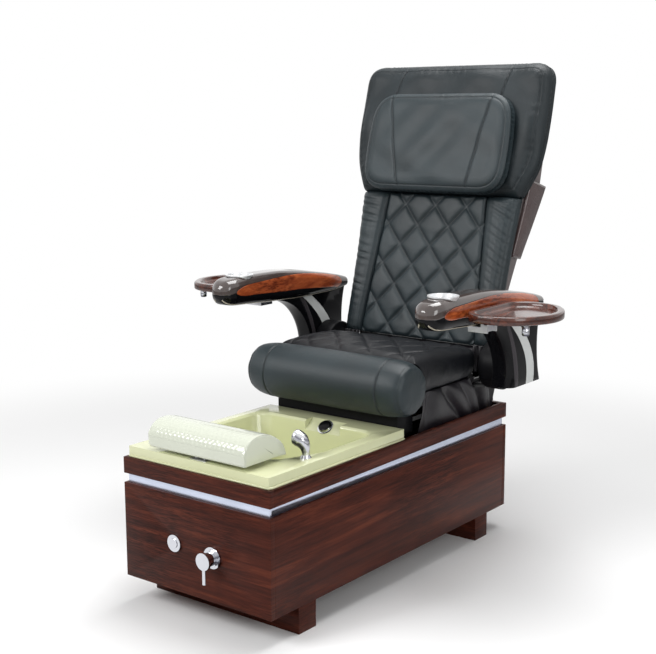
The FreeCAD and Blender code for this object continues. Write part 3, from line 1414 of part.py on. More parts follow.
def make_skirts():
    """The leather skirts that hang from the seat pan into the cabinet, with their main folds."""
    top, straight, low = float(size.skirt_top), float(size.skirt_straight), float(size.skirt_low)
    start = float(behind_front(size.skirt_start))
    end_top = float(behind_front(size.hoop_rear_setback))
    end_low = float(behind_front(size.skirt_rear_low_setback)) - 4 * float(size.skirt_thick)
    fold = float(size.skirt_fold)
    taut = fold / 16
    side_top = float(hoop_half + size.soft_gap) + taut
    side_low = float(half_width - size.skirt_margin)
    side = Part.makeLoft([fold_wire(start, end_top, side_top, taut, top, 6),
                          fold_wire(start, end_top, side_top, taut, straight, 6),
                          fold_wire(start, end_low, side_low, fold, low, 6)], True, True)
    clear = float(size.skirt_notch_clear)
    notch_y = float(behind_front(size.carrier_start))
    notch = block(point(0, notch_y - clear, size.carrier_bar_low - size.skirt_notch_clear),
                  point(size.carrier_plate_out, notch_y + float(size.carrier_depth) + clear, top + clear))
    right = side.cut(notch)
    left = right.mirror(point(0, 0, 0), X_AXIS)
    hang_top = float(behind_front(size.hoop_rear_setback) + size.soft_gap) + taut
    hang_low = float(behind_front(size.skirt_rear_low_setback))
    half_top, half_low = float(hoop_half), side_low - fold
    above_rails = float(rail_top) + clear
    rear_top = fold_wire(-half_top, half_top, hang_top, taut, float(size.hoop_top), 8)
    rear_low = fold_wire(-half_low, half_low, hang_low, fold, above_rails, 8)
    rear_cloth = Part.makeLoft([rear_top, rear_low], True, True)
    rear_cloth.rotate(point(0, 0, 0), Z_AXIS, 90)
    node(formed("skirts", Part.makeCompound([left, right, rear_cloth])), "skirts")


def make_back_frame():
    """The back's steel frame with its hinge plates, lever, cross tubes and massage guide rods."""
    side, tube = float(size.frame_side), float(size.frame_tube)
    low, top = float(size.frame_low), float(size.frame_top)
    y0, y1 = float(size.frame_tube_front), float(size.frame_tube_front) + tube
    plate, width = float(size.frame_plate_thick), float(size.frame_plate_width)
    pieces = []
    for way in (-1, 1):
        x0 = side * way - plate / 2
        cheek = Part.makePolygon([FreeCAD.Vector(x0, y, z) for y, z in (
            (-width / 2, 0), (-width / 3, width / 3), (y0 - tube / 2, low * 0.45),
            (y0, low), (y0, low + tube),
            (y1, low + tube), (y1, low), (width / 2, 0), (-width / 2, 0))])
        pieces.append(prism(cheek, X_AXIS * plate))
        pieces.append(Part.makeCylinder(width / 2, plate, FreeCAD.Vector(x0, 0, 0), X_AXIS))
        pieces.append(block(FreeCAD.Vector(side * way - tube / 2, y0, low),
                            FreeCAD.Vector(side * way + tube / 2, y1, top)))
        pieces.append(Part.makeCylinder(float(size.guide_radius), top - low,
                                        FreeCAD.Vector(float(size.guide_reach) * way, y0 + tube / 2, low)))
    for z in (low, top - tube):
        pieces.append(block(FreeCAD.Vector(-side, y0, z), FreeCAD.Vector(side, y1, z + tube)))
    slope = math.radians(float(size.back_angle))
    reach, drop = float(size.lever_reach), float(lever_drop)
    eye_y = reach * math.cos(slope) + drop * math.sin(slope)
    eye_z = reach * math.sin(slope) - drop * math.cos(slope)
    half, thick = float(size.lever_width) / 2, float(size.lever_half_thick)
    hull = Part.makePolygon([FreeCAD.Vector(-thick, y, z) for y, z in (
        (y0, low + tube), (y0, low), (eye_y - half, eye_z), (eye_y + half, eye_z),
        (y1, low), (y1, low + tube),
        (y0, low + tube))])
    pieces.append(prism(hull, X_AXIS * 2 * thick))
    pieces.append(Part.makeCylinder(half, 2 * thick, FreeCAD.Vector(-thick, eye_y, eye_z), X_AXIS))
    pin_half = float(size.lever_pin_half)
    pieces.append(Part.makeCylinder(float(size.lever_pin_radius), 2 * pin_half,
                                    FreeCAD.Vector(-pin_half, eye_y, eye_z), X_AXIS))
    frame = pieces[0].multiFuse(pieces[1:])
    bore = Part.makeCylinder(float(size.recline_bore), 4 * side, FreeCAD.Vector(-2 * side, 0, 0), X_AXIS)
    node(formed("back_frame", frame.cut(bore).removeSplitter(), back_place), "back_frame")


def make_back_board():
    """The plywood boards that carry the back's cushions, with a slot left for the massage carriage."""
    thick = size.frame_tube_front - size.quilt_back - size.soft_gap
    middle = (size.frame_tube_front + size.quilt_back + size.soft_gap) / 2
    slot_half = size.board_slot_half
    slot_low, slot_top = size.frame_low + size.frame_tube, size.frame_top - size.frame_tube
    cheek_share = (slot_low - size.board_low) / (size.board_mid - size.board_low)
    foot_half = size.board_half_low + (size.board_half_mid - size.board_half_low) * float(cheek_share)
    top_share = (slot_top - size.board_mid) / (size.board_top - size.board_mid)
    head_half = size.board_half_mid + (size.board_half_top - size.board_half_mid) * float(top_share)
    outlines = {
        "foot": [(-size.board_half_low, size.board_low), (size.board_half_low, size.board_low),
                 (foot_half, slot_low), (-foot_half, slot_low)],
        "left": [(-foot_half, slot_low), (-slot_half, slot_low), (-slot_half, slot_top),
                 (-head_half, slot_top),
                 (-size.board_half_mid, size.board_mid)],
        "right": [(slot_half, slot_low), (foot_half, slot_low), (size.board_half_mid, size.board_mid),
                  (head_half, slot_top), (slot_half, slot_top)],
        "head": [(-head_half, slot_top), (head_half, slot_top), (size.board_half_top, size.board_top),
                 (-size.board_half_top, size.board_top)],
    }
    boards = [padded("back_board_" + name, "XZ_Plane", outline, thick, (0, middle, 0))
              for name, outline in outlines.items()]
    piece = group("back_board", boards)
    piece.Placement = back_place
    node(piece, "back_board")


def shell_wire(z_share, half_share, side_share, depth_share, shrink):
    """A level section of the back shell: open side flat, sides straight, back an even bow."""
    depth_all = float(size.shell_depth)
    front_y = float(size.shell_front)
    z = float(size.shell_low) + float(size.shell_top - size.shell_low) * z_share
    half = float(size.shell_half_width) * half_share - shrink
    side_y = front_y + depth_all * side_share - shrink / 2
    deep_y = front_y + depth_all * depth_share - shrink
    start = front_y - shrink

    def spot(x, y):
        return FreeCAD.Vector(x, y, z)

    return Part.Wire([
        line(spot(half, start), spot(half, side_y)),
        arc(spot(half, side_y), spot(0, deep_y), spot(-half, side_y)),
        line(spot(-half, side_y), spot(-half, start)),
        line(spot(-half, start), spot(half, start)),
    ])


def make_back_shell():
    """The bowed plastic shell behind the back, open to the front and below."""
    outer = Part.makeLoft([shell_wire(*shares, 0) for shares in SHELL_SHARES], True, True)
    inner = Part.makeLoft([shell_wire(*shares, float(size.shell_thick)) for shares in SHELL_SHARES], True,
                          True)
    inner = inner.common(block(point(-size.base_width, -size.base_width, 0),
                               point(size.base_width, size.base_width, size.shell_top - size.shell_thick)))
    node(formed("back_shell", outer.cut(inner), back_place), "back_shell")


def make_back_cushions():
    """The quilted middle, the two side bolsters, the wide head cushion, the pillow and the side pocket."""
    low, top = float(size.quilt_low), float(size.quilt_top)
    half_low, half_top = float(size.quilt_half_low), float(size.quilt_half_top)
    face, back = float(size.quilt_front), float(size.quilt_back)
    round_by = float(size.groove_width) / 2
    corners = [(-half_low, low), (half_low, low), (half_top, top), (-half_top, top)]
    wires = [rounded(inset(corners, shrink), round_by, facing_front(depth))
             for depth, shrink in ((-back, 0), (face - round_by, 0), (face, round_by / 2))]
    quilt = Part.makeLoft(wires, True, True)
    upright = FreeCAD.Placement(FreeCAD.Vector(0, -face, 0), FreeCAD.Rotation(X_AXIS, 90))
    grooves = diamond_grooves(half_low, low, top, upright)
    node(formed("back_quilt", quilt.cut(Part.makeCompound(grooves)).removeSplitter(), back_place),
         "back_quilt")
    bolster = Part.makeLoft([bolster_wire(low, half_low, float(size.bolster_half_low)),
                             bolster_wire((low + top) / 2, (half_low + half_top) / 2,
                                          float(size.bolster_half_mid)),
                             bolster_wire(top, half_top, float(size.bolster_half_top))], True, True)
    pair = Part.makeCompound([bolster, bolster.mirror(point(0, 0, 0), X_AXIS)])
    node(formed("back_bolsters", pair, back_place), "back_bolsters")
    base, height = float(size.head_low), float(size.head_top - size.head_low)
    wide = float(size.head_half_width)
    right = [(float(size.head_waist_half), base)] + [(wide * x, base + height * z) for x, z in HEAD_SHARES]
    outline = right + [(-x, z) for x, z in right[::-1]]
    head = crowned(outline, float(size.head_corner), -float(size.head_back), float(size.head_front),
                   float(size.head_round))
    node(formed("head_cushion", head, back_place), "head_cushion")
    half = float(size.pillow_half_width)
    z0, z1 = float(size.pillow_low), float(size.pillow_top)
    bulge = [(half * 0.96, z0), (half, (z0 + z1) / 2), (half * 0.93, z1)]
    outline = bulge + [(-x, z) for x, z in bulge[::-1]]
    pillow = crowned(outline, float(size.pillow_corner), float(size.head_front + size.soft_gap),
                     float(size.pillow_front), float(size.pillow_round))
    node(formed("head_pillow", pillow, back_place), "head_pillow")


def bolster_wire(z, inner, outer):
    """A level section of the right-hand bolster: straight at the quilt, round outside."""
    x0 = inner + float(size.soft_gap)
    width = outer - x0
    back, peak = float(size.bolster_back), float(size.bolster_front)

    def spot(share, depth):
        return FreeCAD.Vector(x0 + width * share, -depth, z)

    return Part.Wire([
        line(spot(0, -back), spot(0, peak * 0.6)),
        arc(spot(0, peak * 0.6), spot(0.38, peak), spot(0.8, peak * 0.8)),
        arc(spot(0.8, peak * 0.8), spot(0.96, peak * 0.5), spot(1, peak * 0.1)),
        line(spot(1, peak * 0.1), spot(0.93, -back)),
        line(spot(0.93, -back), spot(0, -back)),
    ])


def shell_half_at(z):
    """The shell's half width at a height, between its stations."""
    base, rise = float(size.shell_low), float(size.shell_top - size.shell_low)
    share = (z - base) / rise
    for (z0, half0, _, _), (z1, half1, _, _) in zip(SHELL_SHARES, SHELL_SHARES[1:]):
        if z0 <= share <= z1:
            return float(size.shell_half_width) * (half0 + (half1 - half0) * (share - z0) / (z1 - z0))
    return float(size.shell_half_width)


def make_side_pocket():
    """The leather pocket that follows the right-hand side of the shell, open above."""
    gap, thick, wall = float(size.soft_gap), float(size.pocket_thick), float(size.pocket_wall)
    front_y = float(size.pocket_front)
    low, top = float(size.pocket_low), float(size.pocket_top)
    low_back, top_back = float(size.pocket_low_back), float(size.pocket_top_back)
    base, rise = float(size.shell_low), float(size.shell_top - size.shell_low)
    bends = [base + rise * shares[0] for shares in SHELL_SHARES]
    wires, hollow = [], []
    for z in [low] + [bend for bend in bends if low < bend < top] + [top]:
        x = shell_half_at(z) + gap
        back_y = low_back + (top_back - low_back) * (z - low) / (top - low)
        corners = [(x, front_y), (x + thick, front_y), (x + thick, back_y), (x, back_y)]
        wires.append(rounded(corners, thick / 3, at_height(z)))
        hollow.append(rounded(inset(corners, wall), thick / 6, at_height(z + wall)))
    pocket = Part.makeLoft(wires, True, True).cut(Part.makeLoft(hollow, True, True))
    node(formed("side_pocket", pocket, back_place), "side_pocket")


def make_massage():
    """The massage carriage on the guide rods, and its shaft with four rollers."""
    side, block_w = float(size.guide_reach), float(size.carriage_block)
    low, height = float(size.carriage_low), float(size.carriage_height)
    rod_y = float(size.frame_tube_front + size.frame_tube / 2)
    depth = float(size.carriage_depth)
    y0 = rod_y - depth / 2
    bar = float(size.carriage_bar)
    pieces = []
    for way in (-1, 1):
        x0 = side * way - block_w / 2
        pieces.append(block(FreeCAD.Vector(x0, y0, low),
                            FreeCAD.Vector(x0 + block_w, y0 + depth + bar, low + height)))
    pieces.append(block(FreeCAD.Vector(-side, y0 + depth, low),
                        FreeCAD.Vector(side, y0 + depth + bar, low + height)))
    carriage = pieces[0].multiFuse(pieces[1:])
    for way in (-1, 1):
        carriage = carriage.cut(Part.makeCylinder(float(size.guide_bore), 2 * height,
                                                  FreeCAD.Vector(side * way, rod_y, low - height / 2)))
    axis_z = low + height / 2
    axis_y = rod_y - float(size.guide_radius) / 3
    inside = side - block_w / 2
    socket = float(size.roller_shaft_radius)
    for way in (-1, 1):
        start = inside * way
        hole = Part.makeCylinder(float(size.roller_shaft_bore), socket,
                                 FreeCAD.Vector(min(start, start + socket * way), axis_y, axis_z), X_AXIS)
        carriage = carriage.cut(hole)
    node(formed("massage_carriage", carriage.removeSplitter(), back_place), "massage_carriage")
    end = inside + socket * 0.9
    rollers = Part.makeCylinder(float(size.roller_shaft_radius), 2 * end,
                                FreeCAD.Vector(-end, axis_y, axis_z), X_AXIS)
    width = float(size.roller_width)
    for way in (-1, 1):
        for out in (float(size.roller_inner_side), float(size.roller_outer_side)):
            wheel = Part.makeCylinder(float(size.roller_radius), width,
                                      FreeCAD.Vector(out * way - width / 2, axis_y, axis_z), X_AXIS)
            rollers = rollers.fuse(wheel)
    node(formed("massage_rollers", rollers.removeSplitter(), back_place), "massage_rollers")


arm_y0 = float(behind_front(size.arm_start))


def arm_solid():
    """The right arm's full form, lofted through its stations."""
    length, half = float(size.arm_length), float(size.arm_width) / 2
    low, rise, middle = float(size.arm_low), float(size.arm_rise), float(size.arm_side)
    wires = []
    for along, wide, under, over in ARM_SHARES:
        x = half * wide
        z0, z1 = low + rise * under, low + rise * over
        y = arm_y0 + length * along
        corners = [(middle - x, z0), (middle + x, z0), (middle + x, z1), (middle - x, z1)]
        radius = min(float(size.arm_round), 0.4 * (z1 - z0))
        wires.append(rounded(corners, radius, lambda spot, y=y: FreeCAD.Vector(spot.x, y, spot.y)))
    return Part.makeLoft(wires, True, True)


def inlay_edge(front_z, mid_z, rear_z, x):
    """One long edge of the wood inlay, an arc along the arm's side."""
    start, end = float(behind_front(size.inlay_start)), float(behind_front(size.inlay_end))
    return [FreeCAD.Vector(x, start, float(front_z)), FreeCAD.Vector(x, (start + end) / 2, float(mid_z)),
            FreeCAD.Vector(x, end, float(rear_z))]


def make_arm(tag, way):
    """One arm: body, top cover, wood inlays, leg, cup holder, and the folding tray with its bracket."""
    def keep(name, shape):
        if way < 0:
            shape = shape.mirror(point(0, 0, 0), X_AXIS)
        node(formed(name + tag, shape), name + tag)

    arm = arm_solid()
    side, half = float(size.arm_side), float(size.arm_width) / 2
    wide = X_AXIS * 2 * half
    x0 = side - half - float(size.overrun)
    across = X_AXIS * (2 * half + 2 * float(size.overrun))
    low_edge = inlay_edge(size.inlay_low_front, size.inlay_low_mid, size.inlay_low_rear, x0)
    top_edge = inlay_edge(size.inlay_top_front, size.inlay_top_mid, size.inlay_top_rear, x0)
    band = prism(Part.Wire([arc(*low_edge), line(low_edge[2], top_edge[2]), arc(*top_edge[::-1]),
                            line(top_edge[0], low_edge[0])]), across)
    core = block(FreeCAD.Vector(side - half + float(size.inlay_thick), arm_y0, 0),
                 FreeCAD.Vector(side + half - float(size.inlay_thick), arm_y0 + 2 * float(size.arm_length),
                                2 * float(size.cup_top)))
    inlays = arm.common(band).cut(core)
    high = float(size.arm_low) + 2 * float(size.arm_rise)
    ahead, behind = arm_y0 - float(size.overrun), arm_y0 + float(size.arm_length + size.overrun)
    nose_z, rear_z = float(size.nose_low), float(size.inlay_top_rear)
    cover_edge = [FreeCAD.Vector(x0, ahead, nose_z), FreeCAD.Vector(x0, top_edge[0].y, nose_z), top_edge[0]]
    cover_room = prism(Part.Wire([
        line(cover_edge[0], cover_edge[1]), line(cover_edge[1], cover_edge[2]), arc(*top_edge),
        line(top_edge[2], FreeCAD.Vector(x0, behind, rear_z)),
        line(FreeCAD.Vector(x0, behind, rear_z), FreeCAD.Vector(x0, behind, high)),
        line(FreeCAD.Vector(x0, behind, high), FreeCAD.Vector(x0, ahead, high)),
        line(FreeCAD.Vector(x0, ahead, high), cover_edge[0]),
    ]), across)
    cup_at = point(size.arm_side, behind_front(size.cup_setback), 0)
    cup_low = float(size.cup_top - size.cup_flange_thick - size.cup_depth)
    cup_room = Part.makeCylinder(float(size.cup_radius + size.cup_wall + size.soft_gap),
                                 2 * float(size.cup_depth),
                                 cup_at + Z_AXIS * (cup_low - float(size.soft_gap)))
    flange_z = float(size.cup_top - size.cup_flange_thick)
    flange_room = Part.makeCylinder(float(size.cup_flange_radius + size.soft_gap), float(size.cup_depth),
                                    cup_at + Z_AXIS * flange_z)
    cover = arm.common(cover_room).cut(cup_room).cut(flange_room)
    body = arm.cut(cover_room).cut(inlays).cut(cup_room)
    keep("arm_body_", body.removeSplitter())
    keep("arm_cover_", cover.removeSplitter())
    keep("arm_inlays_", Part.makeCompound(inlays.cut(cup_room).Solids))
    cup = Part.makeCylinder(float(size.cup_radius + size.cup_wall), float(size.cup_depth),
                            cup_at + Z_AXIS * cup_low)
    cup = cup.fuse(Part.makeCylinder(float(size.cup_flange_radius), float(size.cup_flange_thick),
                                     cup_at + Z_AXIS * flange_z))
    cup = cup.cut(Part.makeCylinder(float(size.cup_radius), 2 * float(size.cup_depth),
                                    cup_at + Z_AXIS * (cup_low + float(size.cup_wall))))
    keep("cup_holder_", cup.removeSplitter())
    keep("arm_leg_", leg_solid().cut(arm).removeSplitter())
    plate, tray = tray_solids(arm)
    keep("tray_bracket_", plate)
    keep("side_tray_", tray)


def leg_solid():
    """The broad leg under the arm's rear, with an arched front edge and a bore for the pivot shaft."""
    x0, width = float(size.leg_inner), float(size.leg_width)
    radius = float(size.leg_arch_radius)
    centre_y = float(behind_front(size.leg_arch_setback))
    centre_z = float(size.arm_low + size.overrun) - radius
    start_y = float(behind_front(size.leg_top_start))

    def on_arch(y):
        return FreeCAD.Vector(x0, y, centre_z + math.sqrt(radius ** 2 - (y - centre_y) ** 2))

    head = on_arch(start_y)
    foot = FreeCAD.Vector(x0, centre_y + radius, centre_z)
    start_turn = math.asin((start_y - centre_y) / radius)
    middle = on_arch(centre_y + radius * math.sin((math.pi / 2 + start_turn) / 2))
    low, lean = float(size.leg_low), float(size.leg_lean)
    end = float(behind_front(size.leg_end))
    top = float(size.arm_low + size.arm_rise / 4)
    corners = [FreeCAD.Vector(x0, foot.y - lean, low), FreeCAD.Vector(x0, end, low),
               FreeCAD.Vector(x0, end, top), FreeCAD.Vector(x0, head.y, top)]
    waist = FreeCAD.Vector(x0, end - float(size.leg_waist), (low + top) / 2)
    outline = Part.Wire([arc(head, middle, foot), line(foot, corners[0]), line(corners[0], corners[1]),
                         arc(corners[1], waist, corners[2]), line(corners[2], corners[3]),
                         line(corners[3], head)])
    leg = prism(outline, X_AXIS * width)
    uprights = [edge for edge in leg.Edges if edge.BoundBox.ZLength > 3 * lean and edge.BoundBox.XLength < 1
                and edge.BoundBox.XMin > x0 + width / 2]
    leg = leg.makeFillet(float(size.leg_round), uprights)
    pivot_y = float(behind_front(size.carrier_start) + size.carrier_depth / 2)
    bore = Part.makeCylinder(float(size.arm_bore), float(size.arm_shaft_depth + size.soft_gap),
                             point(size.leg_inner, pivot_y, size.arm_pivot_height), X_AXIS)
    return leg.cut(bore)


def tray_solids(arm):
    """The right-hand tray with its knuckle, and the bracket under the arm that it folds on."""
    inner, start = float(size.tray_inner), float(behind_front(size.tray_start))
    width, length = float(size.tray_width), float(size.tray_length)
    low, thick, rim = float(size.tray_low), float(size.tray_thick), float(size.tray_rim)
    corners = [(inner + width * x, start + length * y) for x, y in TRAY_SHARES]
    radius = float(size.tray_corner)
    chamfer = thick / 4
    levels = ((low, chamfer), (low + chamfer, 0), (low + thick - chamfer, 0), (low + thick, chamfer))
    tray = Part.makeLoft([rounded(inset(corners, shrink), radius, at_height(z)) for z, shrink in levels],
                         True, True)
    floor = low + thick - float(size.tray_recess)
    recess = Part.makeLoft([rounded(inset(corners, rim + chamfer), radius, at_height(floor)),
                            rounded(inset(corners, rim), radius, at_height(low + thick)),
                            rounded(inset(corners, rim), radius, at_height(low + 2 * thick))], True, True)
    axis_x, axis_z = float(size.tray_hinge_side), float(size.tray_hinge_height)
    y0 = float(behind_front(size.tray_hinge_setback))
    ear, span = float(size.tray_ear_thick), float(size.tray_hinge_length)
    gap = float(size.soft_gap)
    radius_k = float(size.tray_knuckle_radius)
    knuckle_y = y0 + ear + gap
    knuckle_len = span - 2 * ear - 2 * gap
    knuckle = Part.makeCylinder(radius_k, knuckle_len, FreeCAD.Vector(axis_x, knuckle_y, axis_z), Y_AXIS)
    web = block(FreeCAD.Vector(axis_x, knuckle_y, axis_z - radius_k),
                FreeCAD.Vector(axis_x + 2 * radius_k, knuckle_y + knuckle_len, low + chamfer))
    bore = Part.makeCylinder(float(size.tray_pin_bore), span, FreeCAD.Vector(axis_x, y0, axis_z), Y_AXIS)
    tray = tray.cut(recess).fuse(knuckle.fuse(web)).cut(bore).removeSplitter()
    plate_x, plate_t = float(size.tray_plate_inner), float(size.tray_plate_thick)
    under = float(size.arm_low)
    plate = block(FreeCAD.Vector(plate_x, y0, under - plate_t),
                  FreeCAD.Vector(axis_x - radius_k - gap, y0 + span, under + plate_t))
    ears = []
    for ear_y in (y0, y0 + span - ear):
        ears.append(block(FreeCAD.Vector(axis_x - 2 * radius_k, ear_y, under - plate_t),
                          FreeCAD.Vector(axis_x + radius_k / 2, ear_y + ear, axis_z + radius_k / 2)))
    pin = Part.makeCylinder(float(size.tray_pin_radius), span, FreeCAD.Vector(axis_x, y0, axis_z), Y_AXIS)
    bracket = plate.cut(arm).fuse(ears[0]).fuse(ears[1]).fuse(pin).removeSplitter()
    above = block(FreeCAD.Vector(plate_x, y0 - span, under + plate_t / 2),
                  FreeCAD.Vector(axis_x - 2 * radius_k, y0 + 2 * span, under + 4 * plate_t))
    return bracket.cut(above), tray


def check_and_write():
    """Stop on any failed object or bad shape, then write one file for each piece."""
    doc.recompute()
    for item in doc.Objects:
        if "Invalid" in item.State or "Error" in item.State:
            raise RuntimeError("%s failed: %s" % (item.Name, item.State))
    for piece in nodes:
        shape = piece.Shape
        if shape.isNull() or not shape.isValid() or not shape.Solids:
            raise RuntimeError("%s has no valid solid" % piece.Label)
    os.makedirs("parts", exist_ok=True)
    for piece in nodes:
        piece.Shape.exportStep("parts/%s.step" % piece.Label)
        print("%-20s solids %2d  volume %12.1f" % (piece.Label, len(piece.Shape.Solids), piece.Shape.Volume))
    print("nodes", len(nodes))


make_cabinet()
make_basin()
make_plumbing()
make_mixer()
make_sprayer()
make_jet()
make_footrest()
make_slide_frame()
make_seat_frame()
make_seat_pan()
make_arm_carriers()
make_recline_motor()
make_seat_cushions()
make_skirts()
make_back_frame()
make_back_board()
make_back_shell()
make_back_cushions()
make_side_pocket()
make_massage()
make_arm("left", -1)
make_arm("right", 1)
check_and_write()
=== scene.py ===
# %% [markdown]
# A pedicure bench: a leather massage chair that slides on a laminate cabinet with a cream foot basin.
# The frame holds the rigid parts at their real places. This lesson adds what makes them look real:
# padded leather, hanging skirts, lacquered arms, stitches, and a finish for every part.

# %% Load the frame
import math
import bmesh
import bpy
import numpy as np
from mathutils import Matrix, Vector


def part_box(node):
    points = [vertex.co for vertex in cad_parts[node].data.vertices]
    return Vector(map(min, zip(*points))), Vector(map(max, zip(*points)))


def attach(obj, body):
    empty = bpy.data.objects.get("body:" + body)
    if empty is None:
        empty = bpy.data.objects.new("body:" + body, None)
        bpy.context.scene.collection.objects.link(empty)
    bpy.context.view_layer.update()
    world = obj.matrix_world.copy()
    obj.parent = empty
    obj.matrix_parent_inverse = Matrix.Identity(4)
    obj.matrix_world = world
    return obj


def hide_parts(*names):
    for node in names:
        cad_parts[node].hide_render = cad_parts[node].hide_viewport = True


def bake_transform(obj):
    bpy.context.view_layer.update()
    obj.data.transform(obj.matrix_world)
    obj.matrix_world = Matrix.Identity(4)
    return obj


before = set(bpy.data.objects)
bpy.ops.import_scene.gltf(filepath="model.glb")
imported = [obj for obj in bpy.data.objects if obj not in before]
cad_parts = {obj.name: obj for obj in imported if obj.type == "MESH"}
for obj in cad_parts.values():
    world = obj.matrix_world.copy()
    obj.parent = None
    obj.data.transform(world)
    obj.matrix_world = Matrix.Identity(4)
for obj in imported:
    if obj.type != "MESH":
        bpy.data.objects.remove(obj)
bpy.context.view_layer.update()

scene = bpy.context.scene
MM = 0.001

# %% [markdown]
# The camera comes first. The bench was photographed from its front right, a little above the seat, with a
# long lens. The place, the turn and the lens below were solved from the straight edges of the cabinet.

# %% Camera
PHOTO_WIDTH_PX = 656
FOCAL_PX = 1210.5
SENSOR = 36.0
camera_data = bpy.data.cameras.new("camera")
camera_data.sensor_width = SENSOR
camera_data.lens = FOCAL_PX / PHOTO_WIDTH_PX * SENSOR
camera = bpy.data.objects.new("camera", camera_data)
camera.location = (2.28164, -2.94899, 1.42572)
camera.rotation_euler = [math.radians(turn) for turn in (79.9502, 0.2210, 37.8005)]
scene.collection.objects.link(camera)
scene.camera = camera
scene.view_settings.view_transform = "Standard"
print("lens", round(camera_data.lens, 2), "mm")

# %% [markdown]
# Finishes are node trees. One class wraps a socket, so that the maths of a pattern is written as plain
# sums, and one method adds any other node. That keeps a finish as short as the idea behind it.

# %% Shader maths as expressions
class Value:
    """An output socket that takes part in sums."""

    def __init__(self, finish, socket):
        self.finish = finish
        self.socket = socket

    def math(self, operation, *others):
        return self.finish.node("Math", {"operation": operation}, dict(enumerate((self,) + others)))

    def __add__(self, other):
        return self.math("ADD", other)

    def __mul__(self, other):
        return self.math("MULTIPLY", other)

    __radd__ = __add__
    __rmul__ = __mul__

    def __sub__(self, other):
        return self.math("SUBTRACT", other)

    def __rsub__(self, other):
        return self.finish.node("Math", {"operation": "SUBTRACT"}, {0: other, 1: self})

    def between(self, low, high):
        """0 below low, 1 above high, and smooth in between."""
        return self.finish.node("MapRange", {"interpolation_type": "SMOOTHSTEP"},
                                {"Value": self, "From Min": low, "From Max": high})


class Finish:
    """A material in the making."""

    def __init__(self, name):
        self.material = bpy.data.materials.new(name)
        self.material.use_nodes = True
        self.tree = self.material.node_tree
        self.tree.nodes.clear()
        self.place = self.node("TexCoord", out="Object")

    def node(self, kind, settings=None, sockets=None, out=0):
        made = self.tree.nodes.new("ShaderNode" + kind)
        for key, value in (settings or {}).items():
            if key == "stops":
                while len(made.color_ramp.elements) < len(value):
                    made.color_ramp.elements.new(0.5)
                for element, (position, colour) in zip(made.color_ramp.elements, value):
                    element.position = position
                    element.color = (*colour, 1)
            else:
                setattr(made, key, value)
        for key, value in (sockets or {}).items():
            if isinstance(value, Value):
                self.tree.links.new(value.socket, made.inputs[key])
            else:
                made.inputs[key].default_value = value
        return Value(self, made.outputs[out])

    def stretched(self, scale):
        return self.node("Mapping", None, {"Vector": self.place, "Scale": scale})

    def noise(self, scale, detail=2.0, where=None, roughness=0.5):
        return self.node("TexNoise", None, {"Vector": where or self.place, "Scale": scale, "Detail": detail,
                                            "Roughness": roughness})

    def mix(self, share, low, high):
        return self.node("Mix", {"data_type": "RGBA"}, {0: share, 6: (*low, 1) if isinstance(low, tuple) else low,
                                                        7: (*high, 1) if isinstance(high, tuple) else high}, out=2)

    def bump(self, height, distance, strength=1.0, under=None):
        sockets = {"Height": height, "Distance": distance, "Strength": strength}
        if under is not None:
            sockets["Normal"] = under
        return self.node("Bump", None, sockets)

    def surface(self, **sockets):
        named = {key.replace("_", " "): value for key, value in sockets.items()}
        named = {key: (*value, 1) if isinstance(value, tuple) else value for key, value in named.items()}
        shader = self.node("BsdfPrincipled", None, named)
        output = self.tree.nodes.new("ShaderNodeOutputMaterial")
        self.tree.links.new(shader.socket, output.inputs["Surface"])
        return self.material


print("a finish is written with", Finish.__name__, "and", Value.__name__)

# %% [markdown]
# The padding is covered in black synthetic leather with a cool, slightly green cast. Real leather has a
# fine pebble grain and broad soft unevenness, and its seams lie in shadow. A cell pattern makes the pebbles,
# two noises vary the colour and the gloss, and shade is painted into the colour where the skin folds in
# sharply, in seams and creases.

# %% Leather
def toned(colour, share):
    """A colour made darker or lighter."""
    return tuple(v * share for v in colour)


def leather(name, colour, gloss, coat=0.0, sheen=0.36):
    finish = Finish(name)
    cloud = finish.noise(7.0, 3.0)
    grain = finish.node("TexVoronoi", {"feature": "DISTANCE_TO_EDGE"},
                        {"Vector": finish.place, "Scale": 620.0, "Randomness": 1.0})
    fine = finish.noise(900.0, 2.0)
    crease = finish.noise(60.0, 4.0, finish.stretched((1, 1, 2.2)))
    pebbles = finish.bump(grain.between(0.0, 0.35), 0.0002, 0.55)
    folds = finish.bump(crease, 0.0012, 0.35, pebbles)
    # Painted shade: where the skin folds in sharply (low pointiness), in seams and creases, the colour drops to an
    # eighth, standing in for shadow.
    painted_crease_shade_mask = finish.node("NewGeometry", out="Pointiness").between(0.43, 0.497)
    tone = finish.mix(cloud.between(0.3, 0.7), toned(colour, 0.8), toned(colour, 1.2))
    tone = finish.mix(painted_crease_shade_mask, toned(colour, 0.12), tone)
    return finish.surface(Base_Color=finish.mix(grain.between(0.0, 0.12), toned(colour, 0.72), tone),
                          Roughness=gloss + cloud * 0.1 + fine * 0.08, Specular_IOR_Level=sheen,
                          Coat_Weight=coat, Coat_Roughness=0.2, Normal=folds)


black_leather = leather("black_leather", (0.0165, 0.0260, 0.0305), 0.33)
head_leather = leather("head_leather", (0.0070, 0.0122, 0.0150), 0.34, sheen=0.31)
seat_leather = leather("seat_leather", (0.0042, 0.0050, 0.0070), 0.35, sheen=0.27)
skirt_leather = leather("skirt_leather", (0.010, 0.0085, 0.0115), 0.3)
pocket_leather = leather("pocket_leather", (0.075, 0.047, 0.046), 0.16, 0.8)
print("finish", black_leather.name, skirt_leather.name)

# %% [markdown]
# Four kinds of wood are on this bench. The cabinet is a dark red laminate whose grain lies level on every
# panel. The arm inlays are lacquered burl, the trays a darker lacquered stripe, and the hidden boards are raw
# plywood. Each stretches a noise along its grain.

